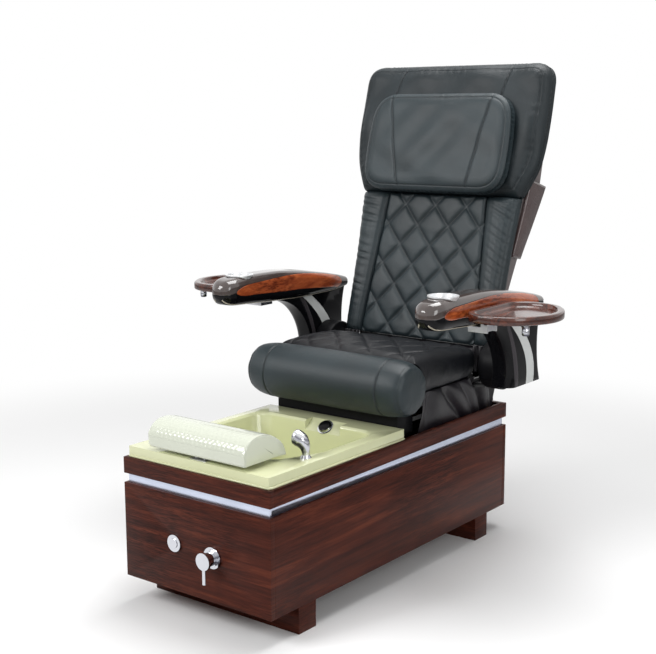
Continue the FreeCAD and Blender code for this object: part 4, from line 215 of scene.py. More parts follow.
# %% Wood
def wood(name, dark, middle, light, stretch, scale, wander, rough, coat, swirl=0.0, gloss=0.5):
    finish = Finish(name)
    grain_place = finish.stretched(stretch)
    bent = finish.noise(wander, 3.0)
    drift = finish.node("TexNoise", None, {"Vector": grain_place, "Scale": wander, "Detail": 2.0}, out="Color")
    shifted = finish.node("VectorMath", {"operation": "MULTIPLY_ADD"},
                          {0: drift, 1: (swirl, swirl, swirl), 2: grain_place})
    bands = finish.noise(scale, 6.0, shifted, 0.62)
    pores = finish.noise(scale * 7, 3.0, grain_place, 0.7)
    tone = finish.node("ValToRGB", {"stops": [(0.30, dark), (0.52, middle), (0.72, light)]}, {"Fac": bands})
    shade = finish.mix(pores.between(0.35, 0.6), toned(dark, 0.55), tone)
    deep = finish.mix(bent.between(0.3, 0.75), shade, tone)
    return finish.surface(Base_Color=deep, Roughness=rough + pores * 0.08, Specular_IOR_Level=gloss,
                          Coat_Weight=coat, Coat_Roughness=0.05, Normal=finish.bump(pores, 0.0002, 0.25))


mahogany = wood("mahogany_laminate", (0.026, 0.0070, 0.0048), (0.070, 0.0155, 0.0085), (0.135, 0.032, 0.015),
                (0.6, 0.6, 11.0), 4.6, 3.0, 0.36, 0.0, 0.3, 0.1)
burl = wood("burl_wood", (0.19, 0.030, 0.008), (0.40, 0.082, 0.022), (0.60, 0.165, 0.048),
            (1.6, 0.5, 2.0), 9.0, 5.0, 0.2, 0.5, 0.9, 0.3)
tray_wood = wood("tray_wood", (0.020, 0.007, 0.006), (0.080, 0.023, 0.014), (0.19, 0.052, 0.028),
                 (7.0, 0.5, 7.0), 8.0, 4.0, 0.16, 0.6, 0.3, 0.3)
plywood = wood("plywood", (0.42, 0.28, 0.16), (0.60, 0.44, 0.28), (0.72, 0.56, 0.38),
               (0.6, 0.6, 6.0), 10.0, 6.0, 0.6, 0.0, 0.2)
print("woods", mahogany.name, burl.name, tray_wood.name, plywood.name)

# %% [markdown]
# The rigid finishes share one recipe: a colour with faint unevenness, a gloss with smudges, and a very
# fine ripple. Metals, mouldings, cast acrylic and paint differ only in its numbers. Polished chrome is the
# exception: its colour is a painted reflection of the white studio, bright above with a dark horizon line.

# %% Plastic, metal, acrylic and paint
def smooth_finish(name, colour, rough, metallic=0.0, coat=0.0, smudge=0.06, ripple=0.00002, ripple_scale=400.0,
                  stretch=(1, 1, 1), shade=0.9, gloss=0.5):
    finish = Finish(name)
    cloud = finish.noise(9.0, 3.0)
    fine = finish.noise(ripple_scale, 2.0, finish.stretched(stretch))
    tone = finish.mix(cloud.between(0.3, 0.7), toned(colour, shade), colour)
    return finish.surface(Base_Color=tone, Metallic=metallic, Roughness=rough + cloud * smudge + fine * 0.03,
                          Specular_IOR_Level=gloss, Coat_Weight=coat, Coat_Roughness=0.04,
                          Normal=finish.bump(fine, ripple, 0.5))


cream = smooth_finish("cream_acrylic", (0.66, 0.68, 0.42), 0.14, coat=0.4, smudge=0.05, shade=0.97)
ivory = smooth_finish("ivory_acrylic", (0.62, 0.65, 0.545), 0.14, coat=0.4, smudge=0.05, shade=0.97)


def chrome_with_painted_horizon(name, stops):
    """Polished metal with a painted reflection of a white studio: the colour is bright where it faces up, and a painted
    dark horizon line runs along the sides.
    """
    finish = Finish(name)
    split = finish.tree.nodes.new("ShaderNodeSeparateXYZ")
    finish.tree.links.new(finish.tree.nodes["Texture Coordinate"].outputs["Normal"], split.inputs[0])
    cloud = finish.noise(14.0, 3.0)
    fine = finish.noise(600.0, 2.0)
    # Painted reflection: the colour follows which way the surface faces, bright above, with dark bands standing in for
    # the studio's horizon.
    facing = Value(finish, split.outputs["Z"]) * 0.5 + 0.5 + (cloud - 0.5) * 0.06
    tone = finish.node("ValToRGB", {"stops": stops}, {"Fac": facing})
    return finish.surface(Base_Color=tone, Metallic=1.0, Roughness=0.05 + cloud * 0.05 + fine * 0.02,
                          Normal=finish.bump(fine, 0.00001, 0.4))


chrome = chrome_with_painted_horizon("chrome", [(0.0, (0.42, 0.42, 0.44)), (0.2, (0.10, 0.10, 0.12)), (0.36, (0.05, 0.05, 0.07)),
                                   (0.45, (0.52, 0.53, 0.57)), (0.56, (0.66, 0.67, 0.71)), (0.66, (0.16, 0.16, 0.19)),
                                   (0.78, (0.72, 0.73, 0.76)), (1.0, (0.86, 0.87, 0.88))])
satin = smooth_finish("satin_aluminium", (0.86, 0.87, 0.88), 0.3, metallic=0.55, ripple=0.00004)
brushed = smooth_finish("silver_strip", (0.60, 0.65, 0.78), 0.26, metallic=0.9, ripple=0.00006, ripple_scale=900,
                        stretch=(0.02, 0.02, 1))
machined = smooth_finish("machined_steel", (0.52, 0.52, 0.54), 0.3, metallic=1.0)
black_paint = smooth_finish("black_paint", (0.012, 0.012, 0.013), 0.34, ripple=0.00008, ripple_scale=700)
black_moulding = smooth_finish("black_moulding", (0.005, 0.005, 0.006), 0.4, ripple=0.00006, ripple_scale=1200,
                               gloss=0.1)
piano_black = smooth_finish("piano_black", (0.003, 0.003, 0.004), 0.06, smudge=0.03, gloss=0.16)
smoke = smooth_finish("smoke_lacquer", (0.085, 0.062, 0.056), 0.08, coat=1.0, smudge=0.04, shade=0.6, gloss=0.4)
shell_gloss = smooth_finish("shell_gloss", (0.16, 0.135, 0.135), 0.16, coat=0.5, gloss=0.4)
beige = smooth_finish("beige_edging", (0.42, 0.38, 0.30), 0.4)
grey_waste = smooth_finish("grey_waste", (0.42, 0.42, 0.43), 0.42)
copper = smooth_finish("copper_pipe", (0.72, 0.38, 0.24), 0.22, metallic=1.0)
braid = smooth_finish("braided_hose", (0.45, 0.45, 0.47), 0.35, metallic=0.6, ripple=0.0004, ripple_scale=500)
rubber = smooth_finish("roller_rubber", (0.03, 0.03, 0.032), 0.6)
print("rigid finishes", cream.name, chrome.name, piano_black.name, "and others")

# %% [markdown]
# A part of the frame keeps its shape and gets a finish. The table says which finish goes on which part.

# %% Dress the frame
DRESS = {
    mahogany: ("front_panel", "rear_panel", "case_panels", "top_band", "plinths"),
    plywood: ("core_frame", "back_board"),
    brushed: ("trim_strip",),
    cream: ("foot_basin",),
    ivory: ("footrest",),
    satin: ("cup_holder_left", "cup_holder_right"),
    chrome: ("mixer_valve", "mixer_handle", "button_bezel", "air_button", "sprayer_collar", "sprayer_head",
             "jet_cover", "drain_fitting", "drain_stopper"),
    braid: ("sprayer_hose",),
    copper: ("water_pipes",),
    grey_waste: ("waste_pipe", "jet_impeller"),
    black_moulding: ("apron", "control_box", "jet_motor", "massage_carriage"),
    black_paint: ("slide_frame", "seat_frame", "seat_pan", "arm_carriers", "back_frame"),
    machined: ("slide_motor", "recline_motor", "recline_rod", "footrest_bracket", "tray_bracket_left",
               "tray_bracket_right"),
    shell_gloss: ("back_shell",),
    piano_black: ("arm_body_left", "arm_body_right", "arm_leg_left", "arm_leg_right"),
    smoke: ("arm_cover_left", "arm_cover_right"),
    burl: ("arm_inlays_left", "arm_inlays_right"),
    tray_wood: ("side_tray_left", "side_tray_right"),
    rubber: ("massage_rollers",),
    black_leather: ("seat_cushion", "seat_roll", "skirts", "back_quilt", "back_bolsters", "head_cushion",
                    "head_pillow", "side_pocket"),
}


def dress(thing, material):
    """Give a mesh one finish."""
    thing.data.materials.clear()
    thing.data.materials.append(material)


for material, names in DRESS.items():
    for name in names:
        dress(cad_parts[name], material)
print("dressed", sum(len(names) for names in DRESS.values()), "parts of", len(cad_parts))

# %% [markdown]
# Every padded piece is a closed skin of rings, or of a front, a wall and a back. A hanging sheet is one grid.
# These helpers build such skins from numbers, and draw the random but repeatable waves that real leather makes.

# %% Skins from rings
def piece(name, spots, faces, body, material, slot):
    """A mesh piece in the row frame, from places in millimetres."""
    mesh = bpy.data.meshes.new(name)
    mesh.from_pydata((np.asarray(spots, float) * MM).tolist(), [], faces)
    build = bmesh.new()
    build.from_mesh(mesh)
    bmesh.ops.remove_doubles(build, verts=build.verts, dist=1e-6)
    bmesh.ops.recalc_face_normals(build, faces=build.faces)
    build.to_mesh(mesh)
    build.free()
    mesh.polygons.foreach_set("use_smooth", [True] * len(mesh.polygons))
    made = bpy.data.objects.new(name, mesh)
    scene.collection.objects.link(made)
    dress(made, material)
    if body is not None:
        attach(made, body)
    return made


def ring_faces(rows, columns, loop=False):
    """Quads of a skin whose rows are rings of columns points. Its ends are closed, or meet in a loop."""
    faces = []
    for row in range(rows if loop else rows - 1):
        here, after = row * columns, (row + 1) % rows * columns
        for column in range(columns):
            beside = (column + 1) % columns
            faces.append([here + column, here + beside, after + beside, after + column])
    if not loop:
        faces.append(list(range(columns))[::-1])
        faces.append(list(range((rows - 1) * columns, rows * columns)))
    return faces


def waves(seed, low, high, count=7):
    """A smooth random curve of one number, with that many waves per unit."""
    draw = np.random.default_rng(seed)
    rate, start = draw.uniform(low, high, count), draw.uniform(0, 2 * np.pi, count)
    height = draw.uniform(0.5, 1, count)

    def curve(t):
        t = np.asarray(t, float)[..., None]
        return (height * np.sin(2 * np.pi * rate * t + start)).sum(-1) / math.sqrt(count)
    return curve


def through(known, values):
    """A smooth curve through values that never swings past them."""
    x, y = np.asarray(known, float), np.asarray(values, float)
    step, rise = np.diff(x), np.diff(y) / np.diff(x)
    slope = np.zeros(len(x))
    slope[0], slope[-1] = rise[0], rise[-1]
    for i in range(1, len(x) - 1):
        if rise[i - 1] * rise[i] > 0:
            slope[i] = 2 / (1 / rise[i - 1] + 1 / rise[i])

    def curve(at):
        at = np.clip(np.asarray(at, float), x[0], x[-1])
        i = np.clip(np.searchsorted(x, at, side="right") - 1, 0, len(x) - 2)
        t = (at - x[i]) / step[i]
        return ((1 + 2 * t) * (1 - t) ** 2 * y[i] + t * (1 - t) ** 2 * step[i] * slope[i]
                + t * t * (3 - 2 * t) * y[i + 1] + t * t * (t - 1) * step[i] * slope[i + 1])
    return curve


def rounded_outline(corners, radii, count=420):
    """A closed line round the corners, each rounded by its radius, as evenly spaced points."""
    corners = np.asarray(corners, float)
    radii = np.broadcast_to(radii, len(corners))
    dense = []
    for i, here in enumerate(corners):
        before, after = corners[i - 1], corners[(i + 1) % len(corners)]
        a, b = before - here, after - here
        reach = min(radii[i], 0.48 * np.linalg.norm(a), 0.48 * np.linalg.norm(b))
        start, end = here + a / np.linalg.norm(a) * reach, here + b / np.linalg.norm(b) * reach
        for t in np.linspace(0, 1, 14):
            dense.append((1 - t) ** 2 * start + 2 * t * (1 - t) * (here * 0.92 + (start + end) * 0.04) + t * t * end)
    return even(np.array(dense + dense[:1]), count + 1)[:-1]


def even(line, count):
    """The same line with evenly spaced points."""
    line = np.asarray(line, float)
    along = np.concatenate([[0], np.cumsum(np.linalg.norm(np.diff(line, axis=0), axis=1))])
    at = np.linspace(0, along[-1], count)
    return np.stack([np.interp(at, along, line[:, k]) for k in range(line.shape[1])], -1)


print("a tube of two rings of four:", ring_faces(2, 4))

# %% [markdown]
# The backrest leans back from its hinge. Its cushions are easier to describe flat, as across, out to the
# front, and up along the back, so one function leans such places into the frame.

# %% The backrest's own directions
LEAN = math.radians(15)
HINGE = (495.0, 630.0)


def lean(across, out, up):
    """Places on the backrest, from across it, out to its front and up along it."""
    across, out, up = np.broadcast_arrays(*(np.asarray(v, float) for v in (across, out, up)))
    return np.stack([across, HINGE[0] - out * math.cos(LEAN) + up * math.sin(LEAN),
                     HINGE[1] + out * math.sin(LEAN) + up * math.cos(LEAN)], -1)


def level(across, out, up):
    """The seat lies flat: out is its height, and up runs back."""
    across, out, up = np.broadcast_arrays(*(np.asarray(v, float) for v in (across, out, up)))
    return np.stack([across, up, out], -1)


print("the backrest's foot and top", lean(0, 0, [0, 985]).round(1).tolist())

# %% [markdown]
# A cushion is one closed skin. Its front is a grid stretched inside the outline, so that the grid lines
# follow the seams. The front rises from the edge in a round shoulder, then the wall runs back and is drawn
# in between its seams, and the back is flat where it rests on the boards.

# %% A padded cushion from its outline
def grid_in(outline, corners, across, up):
    """A grid that fills the outline, with its corners at the points of the outline nearest to these four."""
    count = len(outline)
    stops = [int(np.linalg.norm(outline - np.asarray(corner, float), axis=1).argmin()) for corner in corners]
    sides = []
    for start, end in zip(stops, stops[1:] + stops[:1]):
        span = (end - start) % count
        sides.append(outline[(start + np.arange(span + 1)) % count])

    def eased(count_of):
        t = np.linspace(0, 1, count_of)
        return 0.55 * t + 0.45 * (0.5 - 0.5 * np.cos(np.pi * t))

    def along(line, count_of):
        fine = even(line, 600)
        at = eased(count_of) * (len(fine) - 1)
        return np.stack([np.interp(at, np.arange(len(fine)), fine[:, k]) for k in (0, 1)], -1)

    low, right = along(sides[0], across), along(sides[1], up)
    high, left = along(sides[2], across)[::-1], along(sides[3], up)[::-1]
    u, v = eased(across)[None, :, None], eased(up)[:, None, None]
    return ((1 - v) * low[None] + v * high[None] + (1 - u) * left[:, None] + u * right[:, None]
            - ((1 - u) * (1 - v) * low[0] + u * (1 - v) * low[-1] + (1 - u) * v * high[0] + u * v * high[-1]))


def edge_distance(spots, outline):
    """How far each spot is from the outline, and how far round the nearest point of it is."""
    fine = even(np.concatenate([outline, outline[:1]]), 900)[:-1]
    flat = spots.reshape(-1, 2)
    away, where = np.empty(len(flat)), np.empty(len(flat))
    for start in range(0, len(flat), 4000):
        some = slice(start, start + 4000)
        gap = np.linalg.norm(flat[some, None] - fine[None], axis=2)
        nearest = gap.argmin(1)
        away[some], where[some] = gap[np.arange(len(gap)), nearest], nearest / len(fine)
    return away.reshape(spots.shape[:-1]), where.reshape(spots.shape[:-1])


def dip(distance, width, depth):
    """A sewn channel: sharp at the seam and soft towards the padding."""
    return -depth * np.exp(-np.abs(distance) / width)


def line_distance(spots, start, end):
    """Distance of each spot from a straight seam."""
    start, end = np.asarray(start, float), np.asarray(end, float)
    way = end - start
    share = np.clip(((spots - start) @ way) / (way @ way), 0, 1)
    return np.linalg.norm(spots - start - share[..., None] * way, axis=-1)


print("heights at a seam and four millimetres beside it:", dip([0.0, 4.0], 2.0, 5.0).round(1).tolist())

# %% [markdown]
# The cushion itself keeps its outline, its heights and its relief together, so that the skin and the stitches
# on it are worked out from the same numbers.

# %% The cushion as one form
def grid_faces(rows, columns):
    """Quads of a grid of points, row by row."""
    return [[j * columns + i, j * columns + i + 1, (j + 1) * columns + i + 1, (j + 1) * columns + i]
            for j in range(rows - 1) for i in range(columns - 1)]


class Cushion:
    """A padded form: its outline, how thick it is, how round its shoulder is, and its sewn relief."""

    def __init__(self, outline, corners, back, edge, front, shoulder, relief, crown=0.0, place=lean):
        self.outline, self.corners, self.place = outline, corners, place
        self.back, self.edge, self.front, self.shoulder, self.crown = back, edge, front, shoulder, crown
        self.relief = relief
        self.middle = outline.mean(0)
        self.reach = np.abs(outline - self.middle).max(0)

    def out(self, spots):
        """How far the front stands out at these flat places."""
        away, where = edge_distance(spots, self.outline)
        share = np.clip(away / self.shoulder, 0, 1)
        inside = (spots - self.middle) / self.reach
        swell = self.crown * (1 - np.clip(inside[..., 0], -1, 1) ** 2) * (1 - np.clip(inside[..., 1], -1, 1) ** 2)
        rise = np.sqrt(1 - (1 - share) ** 2)
        return self.edge + (self.front - self.edge) * rise + swell * share + self.relief(spots, away, where) * rise

    def on(self, spots, lift=0.0):
        """Places on the front, in the row frame."""
        spots = np.asarray(spots, float)
        return self.place(spots[..., 0], self.out(spots) + lift, spots[..., 1])

    def skin(self, across, up, wall=8, draw_in=4.0, tuck=0.0, gather=None):
        """The closed skin: a grid in front, rings down the wall, and more of them that close the back."""
        flat = grid_in(self.outline, self.corners, across, up)
        front = self.on(flat)
        ring = ([(0, i) for i in range(across)] + [(j, across - 1) for j in range(1, up)]
                + [(up - 1, i) for i in range(across - 2, -1, -1)] + [(j, 0) for j in range(up - 2, 0, -1)])
        rim = np.array([flat[j, i] for j, i in ring])
        tangent = np.roll(rim, -1, 0) - np.roll(rim, 1, 0)
        inward = np.stack([-tangent[:, 1], tangent[:, 0]], -1)
        inward /= np.maximum(np.linalg.norm(inward, axis=1, keepdims=True), 1e-9)
        spots, faces = list(front.reshape(-1, 3)), grid_faces(up, across)
        edge = [j * across + i for j, i in ring]

        def with_ring(places):
            """Join one more ring to the last, and give its numbers."""
            now = list(range(len(spots), len(spots) + len(places)))
            spots.extend(places)
            faces.extend(list(quad) for quad in zip(edge, now, now[1:] + now[:1], edge[1:] + edge[:1]))
            return now

        round_at = np.linspace(0, 1, len(rim), endpoint=False)
        out_here = self.out(rim)
        for k in range(1, wall + 1):
            t = k / wall
            pull = draw_in * math.sin(math.pi * t) + tuck * t ** 3
            if gather is not None:
                pull = pull + gather(round_at, t)
            at = rim + inward * np.reshape(pull, (-1, 1))
            depth = out_here + (self.back - out_here) * t
            edge = with_ring(self.place(at[:, 0], depth, at[:, 1]))
        centre = self.place(self.middle[0], self.back, self.middle[1])
        for share in (0.66, 0.5):
            edge = with_ring(centre + (np.array([spots[m] for m in edge]) - centre) * share)
        spots.append(centre)
        faces += [[a, len(spots) - 1, b] for a, b in zip(edge, edge[1:] + edge[:1])]
        return spots, faces


print("a front of 200 by 220 points has", len(grid_faces(200, 220)), "cells")

# %% [markdown]
# The quilting is two families of slanted seams that cross in diamonds. Each diamond is a small pillow: the
# distance to the nearest seam says how far its leather has risen. A row of stitches runs at either side of a
# seam, one channel's half width away from it.

# %% Quilted diamonds
DIAMOND = np.array([124.0, 142.0])
SEAM_SPACING = 1 / math.hypot(1 / DIAMOND[0], 1 / DIAMOND[1])
CHANNEL = 3.4


def diamond_shares(spots, middle_up):
    x, up = spots[..., 0] / DIAMOND[0], (spots[..., 1] - middle_up) / DIAMOND[1]
    return x + up, x - up


def diamonds(spots, middle_up, depth):
    """How far the quilted leather lies below the crowns of its diamonds."""
    gaps = [np.abs(share - np.floor(share) - 0.5) * SEAM_SPACING for share in diamond_shares(spots, middle_up)]
    puff = [1 - np.exp(-gap / 9.0) for gap in gaps]
    stitch = sum(dip(np.abs(gap - CHANNEL), 1.0, 0.9) for gap in gaps)
    return -depth * (1 - puff[0] * puff[1]) + stitch


QUILT_LOW, QUILT_TOP = 24.0, 526.0
QUILT_MIDDLE = (QUILT_LOW + QUILT_TOP) / 2
QUILT_CORNERS = [(-233, QUILT_LOW), (233, QUILT_LOW), (196.5, QUILT_TOP), (-196.5, QUILT_TOP)]
quilt_small = [waves(seed, 0.004, 0.016) for seed in (11, 12)]


def quilt_relief(spots, away, where):
    x, up = spots[..., 0], spots[..., 1]
    soft = 1.1 * quilt_small[0](x + 0.6 * up) * quilt_small[1](up - 0.4 * x)
    return diamonds(spots, QUILT_MIDDLE, 9.0) + soft


def padded_piece(name, skin, body, replaced, cover=black_leather):
    """A cushion in place of a solid, which is hidden."""
    made = piece(name, *skin, body, cover, "black_leather")
    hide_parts(replaced)
    print(name, len(made.data.vertices), "vertices")


quilt = Cushion(rounded_outline(QUILT_CORNERS, 9), QUILT_CORNERS, -12.0, 18.0, 31.0, 14.0, quilt_relief)
padded_piece("back_quilting", quilt.skin(200, 220, wall=5, draw_in=0.6), "back", "back_quilt")

# %% [markdown]
# The wide head cushion wraps the top of the shell. Two seams run down from its top edge, and its leather is
# drawn in soft diagonal folds from the corners. It hangs a little at the waist, where it meets the bolsters.

# %% Head cushion
HEAD_LOW, HEAD_TOP = 526.6, 985.0
HEAD_CORNERS = [(-317, HEAD_LOW), (317, HEAD_LOW), (341, 577), (365.5, 636.5), (374.5, 709.8), (376.5, 810.7),
                (371, HEAD_TOP), (-371, HEAD_TOP), (-376.5, 810.7), (-374.5, 709.8), (-365.5, 636.5), (-341, 577)]
head_outline = rounded_outline(HEAD_CORNERS, [16, 16, 40, 60, 60, 90, 62, 62, 90, 60, 60, 40], 520)
head_fold = [waves(seed, 0.0015, 0.006) for seed in (21, 22, 23)]
head_pucker = waves(24, 30, 90, 12)
HEAD_SEAMS = [((-196, HEAD_TOP), (-220, 850)), ((227, HEAD_TOP), (208, 850))]


def head_relief(spots, away, where):
    x, up = spots[..., 0], spots[..., 1]
    seams = sum(dip(line_distance(spots, *line), 2.4, 5.5) for line in HEAD_SEAMS)
    hem = dip(away - 26, 2.0, 2.6)
    folds = 4.4 * head_fold[0](np.abs(x) * 0.8 + up) + 3.6 * head_fold[1](np.abs(x) - 0.7 * up)
    pucker = 1.2 * head_pucker(where) * np.exp(-np.abs(away - 26) / 12)
    waist = dip(up - HEAD_LOW, 14.0, 6.0) * (1 + 0.5 * head_fold[2](x * 3))
    return seams + hem + folds + pucker + waist


head = Cushion(head_outline, [HEAD_CORNERS[k] for k in (0, 1, 6, 7)], -12.0, 6.0, 48.0, 62.0, head_relief, crown=6.0)
padded_piece("head_cushion_skin", head.skin(230, 170, wall=7, draw_in=7.0), "back", "head_cushion", head_leather)

# %% [markdown]
# The pillow is a flat box of leather held on the head cushion. Piping runs round its face, two slanted seams
# divide it, and its side wall is gathered. It lies against the cushion behind it.

# %% Head pillow
PILLOW_LOW, PILLOW_TOP = 526.0, 866.0
PILLOW_CORNERS = [(-277, PILLOW_LOW), (277, PILLOW_LOW), (289, 697), (268, PILLOW_TOP), (-268, PILLOW_TOP), (-289, 697)]
pillow_outline = rounded_outline(PILLOW_CORNERS, [88, 88, 120, 80, 80, 120], 460)
pillow_fold = [waves(seed, 0.002, 0.008) for seed in (31, 32)]
pillow_pucker = waves(33, 40, 120, 14)
pillow_gather = waves(34, 50, 150, 14)
PILLOW_SEAMS = [((-206, PILLOW_TOP), (-124, PILLOW_LOW)), ((204, PILLOW_TOP), (146, PILLOW_LOW))]


def pillow_relief(spots, away, where):
    x, up = spots[..., 0], spots[..., 1]
    seams = sum(dip(line_distance(spots, *line), 2.6, 5.6) for line in PILLOW_SEAMS)
    fading = 0.5 + 0.5 * np.sin((0.75 * x + up) / 88.0)
    folds = 5.2 * fading * pillow_fold[0](x - 0.9 * up) + 4.2 * pillow_fold[1](0.5 * x + up)
    pucker = 1.0 * pillow_pucker(where) * np.exp(-away / 14)
    return seams + dip(away - 17, 2.2, 3.6) + folds * np.clip(away / 60, 0, 1) + pucker


pillow = Cushion(pillow_outline, [PILLOW_CORNERS[k] for k in (0, 1, 3, 4)], 54.6, 80.0, 100.0, 46.0, pillow_relief,
                 crown=6.0)
pillow_skin = pillow.skin(190, 130, wall=9, draw_in=3.0,
                          gather=lambda at, t: 1.4 * pillow_gather(at) * math.sin(math.pi * t))
padded_piece("head_pillow_skin", pillow_skin, "back", "head_pillow")

# %% [markdown]
# A bolster runs up each side of the quilting. Its leather is gathered along the outer seam, so wrinkles cross
# it, deepest near the head cushion and almost gone near the seat. They lie nearly level on the left and slant
# on the right, as in the photo.

# %% Side bolsters
BOLSTER_ROWS, BOLSTER_POINTS = 260, 64
BOLSTER_SECTION = [(0, -12), (0, 20), (0.05, 30), (0.16, 38.5), (0.34, 43), (0.55, 43.5), (0.75, 39), (0.88, 30),
                   (0.965, 18), (1, 4), (0.985, -6), (0.93, -12), (0.5, -12)]


def bolster(side):
    up = np.linspace(QUILT_LOW, QUILT_TOP, BOLSTER_ROWS)
    share = (up - QUILT_LOW) / (QUILT_TOP - QUILT_LOW)
    inner = 234 + (197 - 234) * share + 0.6
    outer = through([0, 0.5, 1], [305, 308, 319])(share)
    section = even(np.array(BOLSTER_SECTION) * [80, 1], BOLSTER_POINTS + 1)[:-1] / [80, 1]
    across, stands = section[:, 0], section[:, 1]
    wrinkle, drift = waves(41 + side, 0.012, 0.045, 11), waves(51 + side, 0.004, 0.01)
    slope, depth = (16, 1.0) if side < 0 else (60, 0.55)
    spots = []
    for height, at, x0, x1 in zip(up, share, inner, outer):
        slant = height + slope * across * side + 5 * drift(height)
        strength = (depth * (0.25 + 0.75 * at ** 1.5) * np.exp(-((across - 0.72) / 0.42) ** 2)
                    * np.clip(stands / 20, 0, 1))
        crease = np.minimum(wrinkle(slant), 0.45) * 3.4 * strength
        seam = dip((across - 0.9) * (x1 - x0), 2.4, 3.0) * (stands > 0)
        ends = 1 - 0.35 * np.exp(-(height - QUILT_LOW) / 10) - 0.35 * np.exp(-(QUILT_TOP - height) / 9)
        out = np.where(stands > 0, (stands + crease + seam) * ends, stands)
        spots.append(lean(side * (x0 + (x1 - x0) * across), out, height))
    return np.concatenate(spots), ring_faces(BOLSTER_ROWS, BOLSTER_POINTS)


def joined(parts):
    """Several skins as one."""
    spots, faces, start = [], [], 0
    for some, quads in parts:
        spots.append(np.asarray(some, float))
        faces += [[start + m for m in quad] for quad in quads]
        start += len(some)
    return np.concatenate(spots), faces


padded_piece("bolster_skins", joined([bolster(side) for side in (-1, 1)]), "back", "back_bolsters")

# %% [markdown]
# The seat is a fat roll at the front with a quilted cushion behind it. The roll is turned about its axis, with
# two seams near each end where the leather is drawn in, and gathered end caps. Below the board's top it is cut
# flat behind, where it is held by the pan's front board.

# %% Seat roll
ROLL_AXIS = (18.0, 597.0)
ROLL_RADIUS, ROLL_HALF, ROLL_SEAM, ROLL_END_SEAM = 89.5, 307.0, 220.0, 291.0
ROLL_ROUND = 168
BOARD_TOP, BOARD_FRONT = 602.3, 99.6


def roll_radius(x):
    """The roll's radius along it, with its seams drawn in."""
    outside = np.clip((np.abs(x) - ROLL_SEAM) / (ROLL_HALF - ROLL_SEAM), 0, 1)
    swell = through([0, 0.3, 0.62, 0.84, 0.95, 0.99, 1], [1, 0.975, 0.925, 0.845, 0.74, 0.62, 0.5])(outside)
    return ROLL_RADIUS * swell + dip(np.abs(x) - ROLL_SEAM, 2.4, 4.4) + dip(np.abs(x) - ROLL_END_SEAM, 2.0, 2.6)


def capped(rings, centre, steps):
    """The rings from left to right, with both ends drawn in to the centre and bulging a little."""
    for way, end in ((-1, rings[0]), (1, rings[-1])):
        hub = np.array([end[0, 0], *centre])
        extra = [hub + (end - hub) * share + np.array([way * bulge, 0, 0]) for share, bulge in steps]
        rings = extra[::-1] + rings if way < 0 else rings + extra
    return rings


def roll_skin():
    seam_places, end_places = ROLL_SEAM + np.linspace(-9, 9, 13), np.linspace(ROLL_HALF - 14, ROLL_HALF, 9)
    near_seams = [way * places for places in (seam_places, end_places) for way in (-1, 1)]
    x = np.unique(np.concatenate([np.linspace(-ROLL_HALF, ROLL_HALF, 130), *near_seams]))
    angle = np.linspace(0, 2 * np.pi, ROLL_ROUND, endpoint=False)
    gather, soft = waves(61, 5, 16, 9), waves(62, 0.6, 1.6)
    rings = []
    for at in x:
        near = np.exp(-(ROLL_HALF - abs(at)) / 26)
        pucker = 1.6 * gather(angle / (2 * np.pi)) * near
        ease = 0.8 * soft(angle / (2 * np.pi) + at / 500)
        radius = roll_radius(at) + pucker + ease * (1 - near)
        y, z = ROLL_AXIS[0] + radius * np.cos(angle), ROLL_AXIS[1] + radius * np.sin(angle)
        y = np.where(z < BOARD_TOP, np.minimum(y, BOARD_FRONT), y)
        rings.append(np.stack([np.full(ROLL_ROUND, at), y, z], -1))
    rings = capped(rings, ROLL_AXIS, ((0.86, 1.2), (0.6, 1.8), (0.3, 1.4)))
    return np.concatenate(rings), ring_faces(len(rings), ROLL_ROUND)


padded_piece("seat_roll_skin", roll_skin(), "seat", "seat_roll")

# %% [markdown]
# The seat cushion is quilted like the back, sits flat on the pan, and presses against the roll. Places that
# would be inside the roll or the pan's front board are moved out to its surface, as real padding would be.

# %% Seat cushion
SEAT_FRONT, SEAT_REAR, SEAT_HALF, SEAT_HEIGHT = 66.0, 449.0, 278.0, 684.0
SEAT_MIDDLE, SEAT_SEAM = 265.0, 233
SEAT_CORNERS = [(-SEAT_HALF, SEAT_FRONT), (SEAT_HALF, SEAT_FRONT), (SEAT_HALF, 330), (SEAT_HALF - 6, SEAT_REAR),
                (6 - SEAT_HALF, SEAT_REAR), (-SEAT_HALF, 330)]
seat_crown = through([SEAT_FRONT, 180, 315, SEAT_REAR], [SEAT_HEIGHT, 688, 682, 660])
seat_small = [waves(seed, 0.004, 0.014) for seed in (71, 72)]
seat_gather = waves(73, 14, 44, 10)


def seat_relief(spots, away, where):
    x, back = spots[..., 0], spots[..., 1]
    fade = np.clip((away - 6) / 30, 0, 1)
    quilting = diamonds(spots, SEAT_MIDDLE, 6.0) * np.where(np.abs(x) < SEAT_SEAM - 1, fade, 0)
    border = dip(np.abs(x) - SEAT_SEAM, 2.5, 3.5)
    soft = 1.6 * seat_small[0](x + back) * seat_small[1](back - x)
    return seat_crown(back) - SEAT_HEIGHT + quilting + border + soft


seat = Cushion(rounded_outline(SEAT_CORNERS, [10, 10, 60, 46, 46, 60], 460), [SEAT_CORNERS[k] for k in (0, 1, 3, 4)],
               566.6, 640.0, SEAT_HEIGHT, 46.0, seat_relief, crown=5.0, place=level)


def pushed_out(spots):
    """Keep the cushion clear of the roll and of the pan's front board."""
    spots = np.array(spots, float)
    low = spots[:, 2] < BOARD_TOP + 0.3
    spots[low, 1] = np.maximum(spots[low, 1], BOARD_FRONT + 16)
    away = spots[:, 1:] - np.array(ROLL_AXIS)
    gap = np.linalg.norm(away, axis=1)
    clear = ROLL_RADIUS + 1.4
    inside = (gap < clear) & ~low
    spots[inside, 1:] = np.array(ROLL_AXIS) + away[inside] / gap[inside, None] * clear
    return spots


